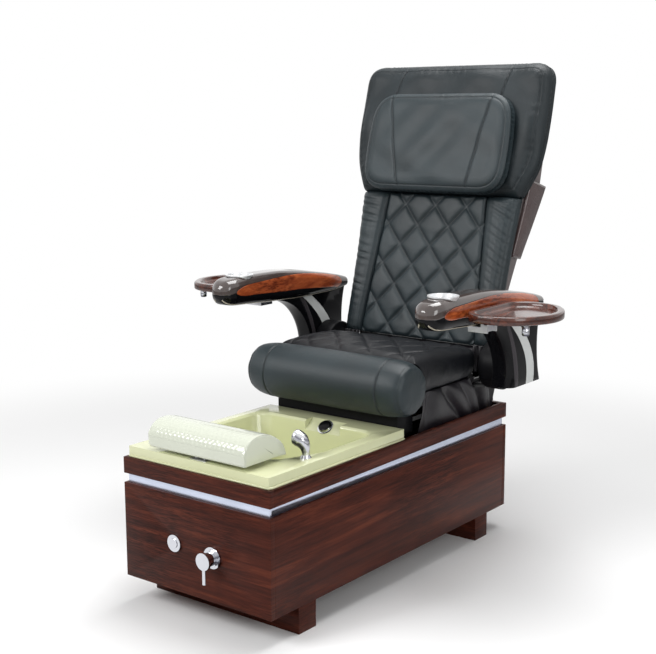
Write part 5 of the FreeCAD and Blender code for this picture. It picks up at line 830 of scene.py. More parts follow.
seat_spots, seat_faces = seat.skin(200, 150, wall=12, draw_in=-3.0, tuck=17.0,
                                   gather=lambda at, t: 1.7 * seat_gather(at) * math.sin(math.pi * t))
padded_piece("seat_cushion_skin", (pushed_out(seat_spots), seat_faces), "seat", "seat_cushion", seat_leather)

# %% [markdown]
# Leather skirts hang from the pan into the cabinet and hide the slide frame. A hanging sheet is taut where it
# is stapled and free below, so its waves grow towards the hem. Small gussets and a loose strip close the gap
# between seat and back. The sheets are thin skins made solid.

# %% Skirts
SIDES = ((-1, "left"), (1, "right"))
SHEET_THICKNESS = 1.6


def thickened(sheet):
    """Give a sheet its thickness, to either side."""
    solid = sheet.modifiers.new("thickness", "SOLIDIFY")
    solid.thickness, solid.offset = SHEET_THICKNESS * MM, 0
    return sheet


def hung(name, lines, waves_seed, notches=(), belly=0.0, columns=170, rows=44, body="seat"):
    """A sheet between a stapled top line and a free hem; a notch leaves out cells over something."""
    start_top, end_top, start_low, end_low = (np.array(spot, float) for spot in lines)
    fold, lean_of = waves(waves_seed, 2.2, 5.2, 6), waves(waves_seed + 1, 0.5, 1.4, 3)
    way = math.copysign(1.0, belly)
    u, v = np.linspace(0, 1, columns), np.linspace(0, 1, rows)
    top = start_top + (end_top - start_top) * u[:, None]
    low = start_low + (end_low - start_low) * u[:, None]
    run = (end_top - start_top) / np.linalg.norm(end_top - start_top)
    outwards = np.cross(run, (0, 0, 1))
    spots = []
    for t in v:
        drape = fold(u + 0.12 * t * lean_of(u) - 0.13 * t)
        bow = math.sin(math.pi * t ** 0.6)
        swing = (8.0 * bow + 3.0 * t) * (drape - 0.35 * drape ** 2)
        swing = swing + belly * bow
        if belly:
            swing = way * np.maximum(way * swing, -1.0 - 60.0 * max(0.0, t - 0.1))
        spots.append(top + (low - top) * t + outwards * swing[:, None])
    spots = np.concatenate(spots)

    def left_out(middle):
        return any(all(lo <= m <= hi for lo, m, hi in zip(least, middle, most)) for least, most in notches)

    faces = [cell for cell in grid_faces(rows, columns) if not left_out(spots[cell].mean(0))]
    return thickened(piece(name, spots, faces, body, skirt_leather, "black_leather"))


ARM_ROOM = [((-320, 432, 524), (320, 486, 570))]
SKIRT_FRONT, SKIRT_TOP, SKIRT_LOW, SKIRT_HALF = 111, 566.2, 431.5, 264.8
for side, tag in SIDES:
    ends = [(side * SKIRT_HALF, SKIRT_FRONT, SKIRT_TOP), (side * SKIRT_HALF, 555.5, SKIRT_TOP),
            (side * 254, SKIRT_FRONT, SKIRT_LOW), (side * 250, 584, SKIRT_LOW)]
    panel = hung("skirt_" + tag, ends, 81 + side, ARM_ROOM, belly=8.0 * side)
rear_ends = [(260, 558.5, 555.5), (-260, 558.5, 555.5), (246, 592, 451.5), (-246, 592, 451.5)]
rear_skirt = hung("skirt_rear", rear_ends, 85)
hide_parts("skirts")
for side, tag in SIDES:
    ends = [(side * 234, 475, 662), (side * 292, 467, 664), (side * 234, 462, 574), (side * 292, 462, 574)]
    if side < 0:
        ends = [ends[k] for k in (1, 0, 3, 2)]
    flap = hung("gusset_" + tag, ends, 91 + side, columns=24, rows=24, body=None)
    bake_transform(flap)


LAP_HALF, LAP_COLUMNS, LAP_ROWS = 232.0, 150, 26
LAP_SHARES = [0, 0.2, 0.45, 0.7, 1]
lap_back = through(LAP_SHARES, [452.2, 461.0, 472.0, 481.0, 496.0])
lap_height = through(LAP_SHARES, [640.0, 635.0, 640.5, 648.6, 651.5])


def lap_skin():
    """The loose strip that joins the seat's rear edge to the foot of the back, slack in its middle."""
    x = np.linspace(-LAP_HALF, LAP_HALF, LAP_COLUMNS)
    pull = waves(97, 5, 14, 8)(np.linspace(0, 1, LAP_COLUMNS))
    spots = []
    for t in np.linspace(0, 1, LAP_ROWS):
        slack = math.sin(math.pi * min(1.0, t / LAP_SHARES[3]))
        y, z = np.full(LAP_COLUMNS, float(lap_back(t))), float(lap_height(t)) + 1.4 * slack * pull
        spots.append(np.stack([x, y, z], -1))
    return np.concatenate(spots), grid_faces(LAP_ROWS, LAP_COLUMNS)


lap = thickened(piece("lap_strip", *lap_skin(), None, skirt_leather, "black_leather"))
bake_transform(lap)
print("skirts, gussets and lap strip ready")

# %% [markdown]
# A leather pocket hangs on the right side of the back shell, open above, for a remote control or a cloth. It
# is a flat sleeve with a real inside, so its rings run down the outside and up again within.

# %% Side pocket
SHELL_HALF = through(np.array([0, 0.16, 0.35, 0.52, 0.64, 0.76, 0.86, 0.94, 1]) * 919 + 6,
                     np.array([0.8, 0.865, 0.905, 0.955, 0.985, 1, 0.985, 0.94, 0.87]) * 326)


POCKET_WIDE, POCKET_START, POCKET_POINTS = 13, 16, 72
pocket_wave = waves(91, 0.004, 0.012)


def pocket_ring(up, shrink):
    """One level ring: a rounded box against the shell, deeper the higher it is, bulging on its outer side."""
    deep = 70 + (124 - 70) * (up - 335) / (596 - 335)
    front, rear = -POCKET_START - shrink, -deep + shrink
    ring = rounded_outline([(0, front), (POCKET_WIDE, front), (POCKET_WIDE, rear), (0, rear)], 4.5, POCKET_POINTS)
    ring[:, 0] = shrink + ring[:, 0] * (POCKET_WIDE - 2 * shrink) / POCKET_WIDE
    outer = ring[:, 0] > POCKET_WIDE / 2
    share = np.clip((-ring[outer, 1] - POCKET_START) / (deep - POCKET_START), 0, 1)
    ring[outer, 0] += (2.0 + 1.4 * pocket_wave(up)) * np.sin(np.pi * share)
    return lean(SHELL_HALF(up) + 0.8 + ring[:, 0], ring[:, 1], up)


pocket_up = np.linspace(336, 596, 40)
pocket_rings = [pocket_ring(up, 0) for up in pocket_up] + [pocket_ring(up, 1.6) for up in pocket_up[:1:-1]]
padded_piece("side_pocket_skin", (np.concatenate(pocket_rings), ring_faces(len(pocket_rings), POCKET_POINTS)), "back",
             "side_pocket", pocket_leather)

# %% [markdown]
# An arm is a long lacquered moulding with a blunt nose. Its section is a rounded box that changes along its
# length. A dark top, a black body and an inlay of burl on either flank meet in fine grooves, so each is cut
# from one common form along the same lines, and made solid inwards.

# %% The arm's common form
ARM_CENTRE, ARM_FRONT, ARM_LENGTH = 400.0, -84.0, 664.0
ARM_HALF, ARM_LOW, ARM_RISE, ARM_ROUND = 48.5, 786.0, 109.0, 27.0
ARM_STATIONS = np.array([
    (0, 0.36, 0.36, 0.73), (0.012, 0.64, 0.26, 0.83), (0.034, 0.84, 0.18, 0.91), (0.078, 0.98, 0.14, 0.96),
    (0.181, 1, 0.11, 1), (0.29, 1, 0.07, 1), (0.403, 0.98, 0.04, 0.99), (0.52, 0.97, 0.01, 0.94),
    (0.624, 0.96, 0, 0.86), (0.74, 0.94, 0.01, 0.75), (0.845, 0.92, 0.02, 0.64), (0.985, 0.84, 0.13, 0.44),
    (1, 0.6, 0.18, 0.38)])
arm_wide, arm_under, arm_over = (through(ARM_STATIONS[:, 0], ARM_STATIONS[:, k]) for k in (1, 2, 3))
INLAY_FRONT, INLAY_REAR = -40.0, 530.0
INLAY_NOSE, INLAY_TAIL = 62, 26
SECTION_POINTS = 240
parting = through([-84, -60, -40, 60, 250, 420, 530, 580], [840, 842, 846, 850, 849, 836, 822, 817])
inlay_half = through([-40, 40, 250, 420, 530], [17, 19, 27, 25, 20])


def inlay_edges(y):
    """Heights of the inlay's lower and upper edge; both are the parting line beyond its ends."""
    front = np.sqrt(1 - np.clip((INLAY_FRONT + INLAY_NOSE - y) / INLAY_NOSE, 0, 1) ** 2)
    rear = np.sqrt(1 - np.clip((y - INLAY_REAR + INLAY_TAIL) / INLAY_TAIL, 0, 1) ** 2)
    half = inlay_half(y) * front * rear * ((y > INLAY_FRONT) & (y < INLAY_REAR))
    return parting(y) - half, parting(y) + half


def arm_section(share):
    """Half a section, from the middle below round one flank to the middle above."""
    half = ARM_HALF * float(arm_wide(share))
    low, top = ARM_LOW + ARM_RISE * float(arm_under(share)), ARM_LOW + ARM_RISE * float(arm_over(share))
    radius = min(ARM_ROUND, 0.46 * (top - low), 0.9 * half)
    turn = np.linspace(0, math.pi / 2, 24)
    below = np.stack([half - radius + radius * np.sin(turn), low + radius - radius * np.cos(turn)], -1)
    above = np.stack([half - radius + radius * np.cos(turn), top - radius + radius * np.sin(turn)], -1)
    line = even(np.concatenate([[(0, low)], below, above, [(0, top)]]), SECTION_POINTS)
    line[:, 1] += np.linspace(0, 1e-4, SECTION_POINTS)
    return line


arm_rows = np.unique(np.concatenate([
    np.linspace(0, 1, 130), 0.08 * np.linspace(0, 1, 16) ** 2,
    (INLAY_FRONT - ARM_FRONT + 70 * np.linspace(0, 1, 22) ** 2) / ARM_LENGTH,
    (INLAY_REAR - ARM_FRONT - 30 * np.linspace(0, 1, 12) ** 2) / ARM_LENGTH]))
arm_sections = [arm_section(share) for share in arm_rows]
arm_y = ARM_FRONT + ARM_LENGTH * arm_rows
edge_low, edge_high = inlay_edges(arm_y)


def arm_patch(start, end, columns, inset=0.0, rows=None, both=False):
    """Points of the form between two heights on the flank, or across the whole width where both is set."""
    grid = []
    for i in (range(len(arm_rows)) if rows is None else rows):
        line = arm_sections[i]
        share = np.linspace(0, 1, len(line))
        s0, s1 = (np.interp(h[i], line[:, 1], share) if h is not None else whole
                  for h, whole in ((start, 0.0), (end, 1.0)))
        if both:
            p = np.sin(np.linspace(-math.pi / 2, math.pi / 2, columns))
            reach, way = (s1 - s0) * (1 - np.abs(p)), np.sign(p)
            at = s1 - reach if start is None else s0 + reach
        else:
            at, way = s0 + (s1 - s0) * (0.5 - 0.5 * np.cos(np.pi * np.linspace(0, 1, columns))), 1.0
        x, z = np.interp(at, share, line[:, 0]), np.interp(at, share, line[:, 1])
        middle = (line[0, 1] + line[-1, 1]) / 2
        shrink = 1 - inset / max(20.0, (line[-1, 1] - line[0, 1]) / 2)
        grid.append(np.stack([x * way * shrink, np.full(columns, arm_y[i]), middle + (z - middle) * shrink], -1))
    return np.array(grid)


print("arm", len(arm_sections), "sections of", SECTION_POINTS, "points")

# %% [markdown]
# Each part of the arm is a patch of the form with a second patch a few millimetres further in. A slab joins
# the two along their rims, which gives the part its thickness and leaves a fine groove beside its neighbour.

# %% Solid parts from the form
def closed_ends(grid):
    """Extra rows that close the nose and the tail with a slight bulge."""
    rows = list(grid)
    for way, edge in ((-1, grid[0]), (1, grid[-1])):
        centre = np.array([0, edge[0, 1], edge[0, 2]])
        extra = [centre + (edge - centre) * share + np.array([0, way * bulge, 0])
                 for share, bulge in ((0.85, 1.4), (0.6, 2.4), (0.3, 3.0), (0.02, 3.2))]
        rows = extra[::-1] + rows if way < 0 else rows + extra
    return np.array(rows)


def slab(outer, inner, keep=None, groove=0.8):
    """A closed solid between two like grids, its outer rim eased into a groove; keep marks the cells."""
    rows, columns = outer.shape[:2]
    keep = np.ones((rows - 1, columns - 1), bool) if keep is None else keep
    run = np.concatenate([np.zeros((rows, 1)), np.cumsum(np.linalg.norm(np.diff(outer, axis=1), axis=2), axis=1)], 1)
    away = np.minimum(run, run[:, -1:] - run)
    depth = np.linalg.norm(inner - outer, axis=2)
    ease = groove * np.exp(-(away / 1.1) ** 2) / np.maximum(depth, 1e-6)
    outer = outer + (inner - outer) * np.minimum(ease, 1)[..., None]
    count = rows * columns
    spots = np.concatenate([outer.reshape(-1, 3), inner.reshape(-1, 3)])
    faces, edges = [], {}
    for cell, kept in zip(grid_faces(rows, columns), keep.ravel()):
        if kept:
            faces += [cell, [count + m for m in cell[::-1]]]
            for a, b in zip(cell, cell[1:] + cell[:1]):
                edges.pop((b, a)) if (b, a) in edges else edges.setdefault((a, b), True)
    faces += [[b, a, count + a, count + b] for a, b in edges]
    return spots, faces


def hard(thing, angle=40):
    """Smooth faces with crisp edges where they turn by more than the angle."""
    thing.data.set_sharp_from_angle(angle=math.radians(angle))
    return thing


print("inlay rows", sum((arm_y >= INLAY_FRONT) & (arm_y <= INLAY_REAR)), "of", len(arm_y))

# %% [markdown]
# The cover has a round hole for the cup holder. Cells inside the hole are left out, and those on its rim are
# drawn onto a true circle. A thin beige edging runs round the foot of the body, as on the photographed arms.

# %% Arms
CUP_Y, CUP_HOLE = 23.0, 43.0
EDGING_WIDTH = 2.6


def with_hole(grid):
    """Leave out the cells over the cup, and round off the hole that they leave."""
    from_cup = grid[..., :2] - np.array([0, CUP_Y])
    gap = np.linalg.norm(from_cup, axis=2)
    top = grid[..., 2] > 870
    inside = (gap < CUP_HOLE) & top
    keep = ~(inside[:-1, :-1] & inside[1:, :-1] & inside[:-1, 1:] & inside[1:, 1:])
    touched = np.zeros_like(inside)
    for dj in (0, 1):
        for di in (0, 1):
            touched[dj:inside.shape[0] - 1 + dj, di:inside.shape[1] - 1 + di] |= ~keep
    rim = np.zeros_like(inside)
    for j, i in zip(*np.nonzero(touched)):
        around = keep[max(j - 1, 0):j + 1, max(i - 1, 0):i + 1]
        rim[j, i] = around.any()
    moved = grid.copy()
    moved[rim, :2] = np.array([0, CUP_Y]) + from_cup[rim] / gap[rim, None] * CUP_HOLE
    return moved, keep


def mirrored(skin):
    """A skin on one flank, with its twin on the other."""
    return joined([skin, (skin[0] * [-1, 1, 1], skin[1])])


def placed(spots, side):
    """Put a form made about the arm's middle on its side of the bench."""
    return np.asarray(spots) * [side, 1, 1] + [side * ARM_CENTRE, 0, 0]


inlay_rows = [i for i in range(len(arm_rows)) if INLAY_FRONT <= arm_y[i] <= INLAY_REAR]
edging_low = np.array([line[0, 1] for line in arm_sections]) + 3.2
for side, tag in SIDES:
    body_name = "arm_" + tag
    body_outer, body_inner = (closed_ends(arm_patch(None, edge_low, 61, inset, both=True)) for inset in (0, 5))
    spots, faces = slab(body_outer, body_inner)
    made = hard(piece("arm_body_skin_" + tag, placed(spots, side), faces, body_name, piano_black, "arm_black"))
    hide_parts("arm_body_" + tag)
    cover_outer, cover_inner = (closed_ends(arm_patch(edge_high, None, 81, inset, both=True)) for inset in (0, 4))
    holed, keep = with_hole(cover_outer)
    holed_inner = np.concatenate([holed[..., :2], cover_inner[..., 2:]], -1)
    cover_inner = np.where((holed != cover_outer).any(-1, keepdims=True), holed_inner, cover_inner)
    spots, faces = slab(holed, cover_inner, keep)
    made = hard(piece("arm_cover_skin_" + tag, placed(spots, side), faces, body_name, smoke, "arm_smoke"))
    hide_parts("arm_cover_" + tag)
    flank = slab(*(arm_patch(edge_low, edge_high, 27, inset, inlay_rows) for inset in (-0.5, 5.0)))
    spots, faces = mirrored(flank)
    made = hard(piece("arm_inlay_skin_" + tag, placed(spots, side), faces, body_name, burl, "burl_wood"))
    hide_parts("arm_inlays_" + tag)
    edging = slab(*(arm_patch(edging_low, edging_low + EDGING_WIDTH, 5, inset)[4:-4] for inset in (-0.5, 2)),
                  groove=0.2)
    spots, faces = mirrored(edging)
    piece("arm_edging_" + tag, placed(spots, side), faces, body_name, beige, "arm_black")
print("arm rows", len(arm_rows))

# %% [markdown]
# A side tray is a smooth drop shape with a raised rim and a sunken middle. Rings of one outline, drawn in by
# the distance that each step of the section needs, make the whole skin. Its hinge knuckle hangs below.

# %% Side trays
TRAY_INNER, TRAY_WIDTH, TRAY_FRONT, TRAY_LENGTH = 458.0, 240.0, 15.0, 330.0
TRAY_LOW, TRAY_TOP = 826.0, 851.0
TRAY_SHARES = np.array([(0, 0.12), (0.2, 0), (0.68, 0.03), (1, 0.38), (0.95, 0.72), (0.62, 1), (0.2, 1), (0, 0.86)])
tray_corners = TRAY_SHARES * [TRAY_WIDTH, TRAY_LENGTH] + [TRAY_INNER, TRAY_FRONT]
tray_outline = rounded_outline(tray_corners, [40, 60, 90, 62, 84, 90, 60, 40], 240)


def drawn_in(outline, distance):
    """The outline moved inwards by a distance."""
    way = np.roll(outline, -1, 0) - np.roll(outline, 1, 0)
    inward = np.stack([-way[:, 1], way[:, 0]], -1) / np.linalg.norm(way, axis=1, keepdims=True)
    return outline + inward * distance


def insets(outline, section):
    """Level rings of one outline, each drawn in by its inset at its height."""
    return [np.column_stack([drawn_in(outline, inset), np.full(len(outline), height)]) for inset, height in section]


TRAY_SECTION = [(60, TRAY_LOW), (20, TRAY_LOW), (3, TRAY_LOW), (1, 827), (0, 829), (-0.3, 838), (0, 846), (1, 848.8),
                (3, 850.4), (6, TRAY_TOP), (12, TRAY_TOP), (17, TRAY_TOP), (19.5, 850.2), (21, 848.4), (22.4, 845),
                (24, 840.8), (26.5, 838.4), (30, 837.2), (36, 837), (60, 837)]


def turned(axis, profile, centre, columns):
    """A skin turned about a line along one axis, from radii and places along it."""
    angle = np.linspace(0, 2 * np.pi, columns, endpoint=False)
    rings = []
    for radius, along in profile:
        ring = [centre[0] + radius * np.cos(angle), centre[1] + radius * np.sin(angle)]
        ring.insert(axis, np.full(columns, along))
        rings.append(np.stack(ring, -1))
    return np.concatenate(rings), ring_faces(len(rings), columns)


def brick(low, high):
    """A plain block, for small plates."""
    (x0, y0, z0), (x1, y1, z1) = low, high
    corners = [(x, y, z) for z in (z0, z1) for x, y in ((x0, y0), (x1, y0), (x1, y1), (x0, y1))]
    faces = [[0, 3, 2, 1], [4, 5, 6, 7], [0, 1, 5, 4], [1, 2, 6, 5], [2, 3, 7, 6], [3, 0, 4, 7]]
    return np.array(corners, float), faces


KNOB_SPOT = np.array([634.0, 96.0])
KNOB_STEM = [(6, 826.2), (6, 818), (9.5, 817), (11, 815), (11, 796), (9, 792.4), (4, 791.4)]
KNOB_PLATE = [(14, 826.2), (14, 822.4), (12, 821.4)]
KNUCKLE_X, KNUCKLE_Z = 474, 806
for side, tag in SIDES:
    rings = insets(tray_outline, TRAY_SECTION)
    spots = np.concatenate(rings) * [side, 1, 1]
    made = hard(piece("tray_skin_" + tag, spots, ring_faces(len(rings), len(tray_outline)), "tray_" + tag, tray_wood,
                      "tray_wood"), 50)
    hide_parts("side_tray_" + tag)
    pin = side * KNUCKLE_X
    knuckle = joined([turned(1, [(8.2, 145), (9, 146), (9, 204), (8.2, 205)], (pin, KNUCKLE_Z), 40),
                      brick((pin - 8, 148, KNUCKLE_Z), (pin + 8, 202, 826.2))])
    hard(piece("tray_knuckle_" + tag, *knuckle, "tray_" + tag, machined, "steel"))
    knob = joined([turned(2, profile, KNOB_SPOT * [side, 1], 48) for profile in (KNOB_STEM, KNOB_PLATE)])
    hard(piece("tray_knob_" + tag, *knob, "tray_" + tag, chrome, "chrome"))
print("trays ready")

# %% [markdown]
# Moulded, pressed and planed parts have no knife edges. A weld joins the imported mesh, and a bevel rounds its
# edges by what the material needs: much for the cast basin, little for boards and sheet metal.

# %% Soften the edges
def soften(name, width):
    """Round the edges of a part by a width in millimetres."""
    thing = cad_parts[name]
    weld = thing.modifiers.new("weld", "WELD")
    weld.merge_threshold = 1e-5
    bevel = thing.modifiers.new("edges", "BEVEL")
    bevel.width = width * MM
    bevel.segments = 3
    bevel.limit_method = "ANGLE"
    bevel.angle_limit = math.radians(38)
    bevel.use_clamp_overlap = True
    bevel.harden_normals = True
    thing.data.polygons.foreach_set("use_smooth", [True] * len(thing.data.polygons))


for names, width in ((("foot_basin",), 4.5), (("front_panel", "rear_panel", "case_panels", "top_band", "plinths"), 0.8),
                     (("apron", "trim_strip"), 0.8), (("arm_leg_left", "arm_leg_right"), 3.5),
                     (("tray_bracket_left", "tray_bracket_right", "footrest_bracket", "arm_carriers"), 0.8),
                     (("cup_holder_left", "cup_holder_right"), 0.8), (("back_shell", "control_box"), 2.0)):
    for name in names:
        soften(name, width)
print("softened")

# %% [markdown]
# The legs are black lacquer with a silver band and a grey one, which follow the arch. Where a band lies is a
# curve of the height, so the finish works out how far each spot is behind that curve.

# %% Leg bands
def banded_lacquer():
    finish = Finish("banded_lacquer")
    split = finish.tree.nodes.new("ShaderNodeSeparateXYZ")
    finish.tree.links.new(finish.place.socket, split.inputs[0])
    y, z = Value(finish, split.outputs["Y"]), Value(finish, split.outputs["Z"])
    rise, over = z - 0.560, z - 0.677
    silver = y - (0.4800 + rise * -0.175 + rise * over * -3.66)
    grey = y - (0.3960 + rise * -0.150 + rise * over * -1.75)

    def band(away, half):
        return away.between(-half - 0.0008, -half) * (1.0 - away.between(half, half + 0.0008))

    cloud = finish.noise(9.0, 3.0)
    fine = finish.noise(500.0, 2.0)
    tone = finish.mix(cloud.between(0.3, 0.7), (0.003, 0.003, 0.004), (0.005, 0.005, 0.006))
    tone = finish.mix(band(grey, 0.009), tone, (0.05, 0.045, 0.05))
    tone = finish.mix(band(silver, 0.024), tone, (0.62, 0.64, 0.63))
    groove = band(silver, 0.0255) * (1.0 - band(silver, 0.0235)) + band(grey, 0.0105) * (1.0 - band(grey, 0.0085))
    return finish.surface(Base_Color=tone, Roughness=0.07 + cloud * 0.05 + band(silver, 0.024) * 0.2 + fine * 0.02,
                          Specular_IOR_Level=0.14, Normal=finish.bump(1.0 - groove, 0.0006, 0.8))


banded = banded_lacquer()
for tag in ("left", "right"):
    dress(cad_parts["arm_leg_" + tag], banded)
print("legs dressed in", banded.name)

# %% [markdown]
# The footrest is one soft D-shaped moulding with a non-slip field of small raised drops on its crown. The
# section is a smooth curve, and the drops are part of the skin, as they are in the mould.

# %% Footrest
FOOT_SECTION = np.array([(0.02, 0.0), (0.0, 0.12), (0.0, 0.5), (0.1, 0.82), (0.32, 1.0), (0.58, 0.95), (0.8, 0.7),
                         (0.94, 0.38), (1.0, 0.05), (0.98, 0.0)])
FOOT_HALF, FOOT_FRONT, FOOT_DEPTH, FOOT_LOW, FOOT_HEIGHT = 184.4, -616.0, 175.0, 486.0, 76.0
FOOT_END = 12
DROP_START, DROP_ROW, DROP_COLUMN = 75, 13.0, 17.0


def spline(points, count):
    """A smooth line through points, by overlapping parabolas."""
    points = np.asarray(points, float)
    padded_points = np.concatenate([2 * points[:1] - points[1:2], points, 2 * points[-1:] - points[-2:-1]])
    dense = []
    for a, b, c, d in zip(padded_points, padded_points[1:], padded_points[2:], padded_points[3:]):
        for t in np.linspace(0, 1, 16, endpoint=False):
            dense.append(0.5 * (2 * b + (c - a) * t + (2 * a - 5 * b + 4 * c - d) * t ** 2
                                + (3 * b - a - 3 * c + d) * t ** 3))
    dense.append(points[-1])
    return even(dense, count)


def footrest_skin():
    section = spline(FOOT_SECTION, 150) * [FOOT_DEPTH, FOOT_HEIGHT]
    straight_half = FOOT_HALF - FOOT_END
    rounded = straight_half + FOOT_END * np.sin(np.linspace(0, math.pi / 2, 9))
    x = np.unique(np.concatenate([np.linspace(-straight_half, straight_half, 260), -rounded, rounded]))
    way = np.gradient(section, axis=0)
    normal = np.stack([-way[:, 1], way[:, 0]], -1) / np.linalg.norm(way, axis=1, keepdims=True)
    along = np.concatenate([[0], np.cumsum(np.linalg.norm(np.diff(section, axis=0), axis=1))])
    toe = (section[:, 0] < 40) & (section[:, 1] < 32)
    rings = []
    for at in x:
        end = np.clip((abs(at) - FOOT_HALF + FOOT_END) / FOOT_END, 0, 1)
        shrink = 6.0 * (1 - math.sqrt(max(0.0, 1 - end * end)))
        row = np.round((along - DROP_START) / DROP_ROW)
        away_row = (along - DROP_START - row * DROP_ROW) / 5.0
        shifted = (at + np.where(row % 2 == 0, 0, DROP_COLUMN / 2)) / DROP_COLUMN
        away_column = (shifted - np.round(shifted)) * DROP_COLUMN / 6.2
        drop = np.clip(1 - away_row ** 2 - away_column ** 2, 0, 1) ** 0.5
        field = (np.abs(row) <= 3) & (abs(at) < FOOT_HALF - 24)
        ring = section + normal * (np.where(toe, -0.7, 0.7) + 0.55 * drop * field - shrink)[:, None]
        rise = np.maximum(ring[:, 1], np.where(toe, 0.5, -0.4))
        rings.append(np.stack([np.full(len(ring), at), FOOT_FRONT + ring[:, 0], FOOT_LOW + rise], -1))
    rings = capped(rings, [FOOT_FRONT + FOOT_DEPTH * 0.45, FOOT_LOW + FOOT_HEIGHT * 0.3], ((0.8, 0.6), (0.4, 1.0)))
    return np.concatenate(rings), ring_faces(len(rings), len(section))


foot_skin = hard(piece("footrest_skin", *footrest_skin(), "footrest", ivory, "cream_basin"), 50)
print("footrest", len(foot_skin.data.vertices), "vertices")

# %% [markdown]
# The spray head is a cast chrome spout: a neck rises from its collar, swells and bends over the bowl, and ends
# in a domed face. It is swept along a curved line with a changing radius. Its hose sits in the collar; on the
# bench it is drawn out when the head is lifted.

# %% Spray head
def swept(path, radii, columns):
    """A round skin along a bent line, with a radius at every point of it."""
    path = np.asarray(path, float)
    way = np.gradient(path, axis=0)
    way /= np.linalg.norm(way, axis=1, keepdims=True)
    side = np.cross(way[0], (0, 1, 0) if abs(way[0, 1]) < 0.9 else (1, 0, 0))
    angle = np.linspace(0, 2 * np.pi, columns, endpoint=False)
    rings = []
    for spot, ahead, radius in zip(path, way, radii):
        side = side - ahead * (side @ ahead)
        side /= np.linalg.norm(side)
        up = np.cross(ahead, side)
        rings.append(spot + radius * (np.cos(angle)[:, None] * side + np.sin(angle)[:, None] * up))
    return np.concatenate(rings), ring_faces(len(rings), columns)


SPOUT_POINTS, SPOUT_ROUND = 46, 40
SPRAY_SPOT = (222, -401)
spout_path = spline([(*SPRAY_SPOT, 474), (*SPRAY_SPOT, 490), (219, -402, 506), (210, -405, 521), (196, -409, 531),
                     (184, -412, 535)], SPOUT_POINTS)
spout_radius = through([0, 0.12, 0.3, 0.5, 0.68, 0.84, 0.93, 0.975, 1],
                       [11.5, 11, 13.5, 18.5, 22.5, 22.5, 19, 12, 4])(np.linspace(0, 1, SPOUT_POINTS))
spout = hard(piece("spray_spout", *swept(spout_path, spout_radius, SPOUT_ROUND), "sprayer_head", chrome, "chrome"), 60)
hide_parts("sprayer_head")
hose_rings = [(5.6, at) for at in np.linspace(463.6, 473.8, 12)]
pull_hose = piece("spray_pull_hose", *turned(2, hose_rings, SPRAY_SPOT, 48), None, braid, "braided_hose")
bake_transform(pull_hose)
print("spout", len(spout.data.vertices), "vertices, hose", len(hose_rings), "rings")

# %% [markdown]
# The jet cover is a chrome ring, and a dark glossy lens with a low dome sits in it.

# %% Jet lens
JET_SPOT, JET_NORMAL = np.array([20.0, -52.5, 456.0]), np.array([0.0, -0.6247, 0.7809])


def on_jet(spots):
    """Turn a form made about an upright line onto the slope of the bay."""
    spots = np.asarray(spots, float)
    across, down = np.array([1.0, 0, 0]), np.cross(JET_NORMAL, [1.0, 0, 0])
    return JET_SPOT + spots[:, :1] * across + spots[:, 1:2] * down + spots[:, 2:] * JET_NORMAL


jet_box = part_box("jet_cover")
lens_spots, lens_faces = turned(2, [(20.5, 8.4), (20.3, 9.3), (17, 10.2), (10, 10.9), (3, 11.1)], (0, 0), 56)
piece("jet_lens", on_jet(lens_spots), lens_faces, "base", piano_black, "chrome")
print("jet box", [[round(v, 3) for v in corner] for corner in jet_box])

# %% [markdown]
# Below each arm a black moulded housing covers the pivot shaft between the carrier's plate and the leg. It is
# round about the pivot, so the leg can turn past it.

# %% Pivot housings
HOUSING = [(20, 302.6), (30, 302.8), (30, 306.6), (72, 307), (76, 308), (78, 311), (79, 330), (79, 362), (78.5, 367),
           (76, 369.6), (72, 370.4), (20, 370.4)]
ARM_PIVOT = (459, 610)
for side, tag in SIDES:
    profile = [(radius, side * at) for radius, at in HOUSING]
    hard(piece("pivot_housing_" + tag, *turned(0, profile, ARM_PIVOT, 72), "seat", black_moulding, "black_plastic"), 50)
print("pivot housings ready")

# %% [markdown]
# A thin lip runs round the foot of the basin's rim, where the acrylic shell sits on the wooden band.

# %% Rim lip
RIM_HALF, RIM_FRONT, RIM_REAR = 269.0, -613.0, 20.0
RIM_CORNERS = [(-RIM_HALF, RIM_FRONT), (RIM_HALF, RIM_FRONT), (RIM_HALF, RIM_REAR), (-RIM_HALF, RIM_REAR)]
LIP_SECTION = [(1.5, 442.3), (-3.4, 442.3), (-4.2, 443.4), (-4.2, 446), (-3.2, 447.4), (-0.8, 448.2), (1.5, 448.6)]
lip_rings = insets(rounded_outline(RIM_CORNERS, 6, 260), LIP_SECTION)
lip_faces = ring_faces(len(lip_rings), len(lip_rings[0]), loop=True)
hard(piece("rim_lip", np.concatenate(lip_rings), lip_faces, "base", cream, "cream_basin"), 50)
print("rim lip", len(lip_faces), "faces")

# %% [markdown]
# The seams are sewn with black thread, in stitches of about six millimetres. Each seam is a line on the
# leather. Geometry nodes cut the lines into equal steps, set one small spindle at each step along the line,
# and give it the thread's finish.

# %% Stitches
thread = smooth_finish("thread", (0.022, 0.023, 0.026), 0.5, ripple=0.0001, ripple_scale=2000, gloss=0.3)


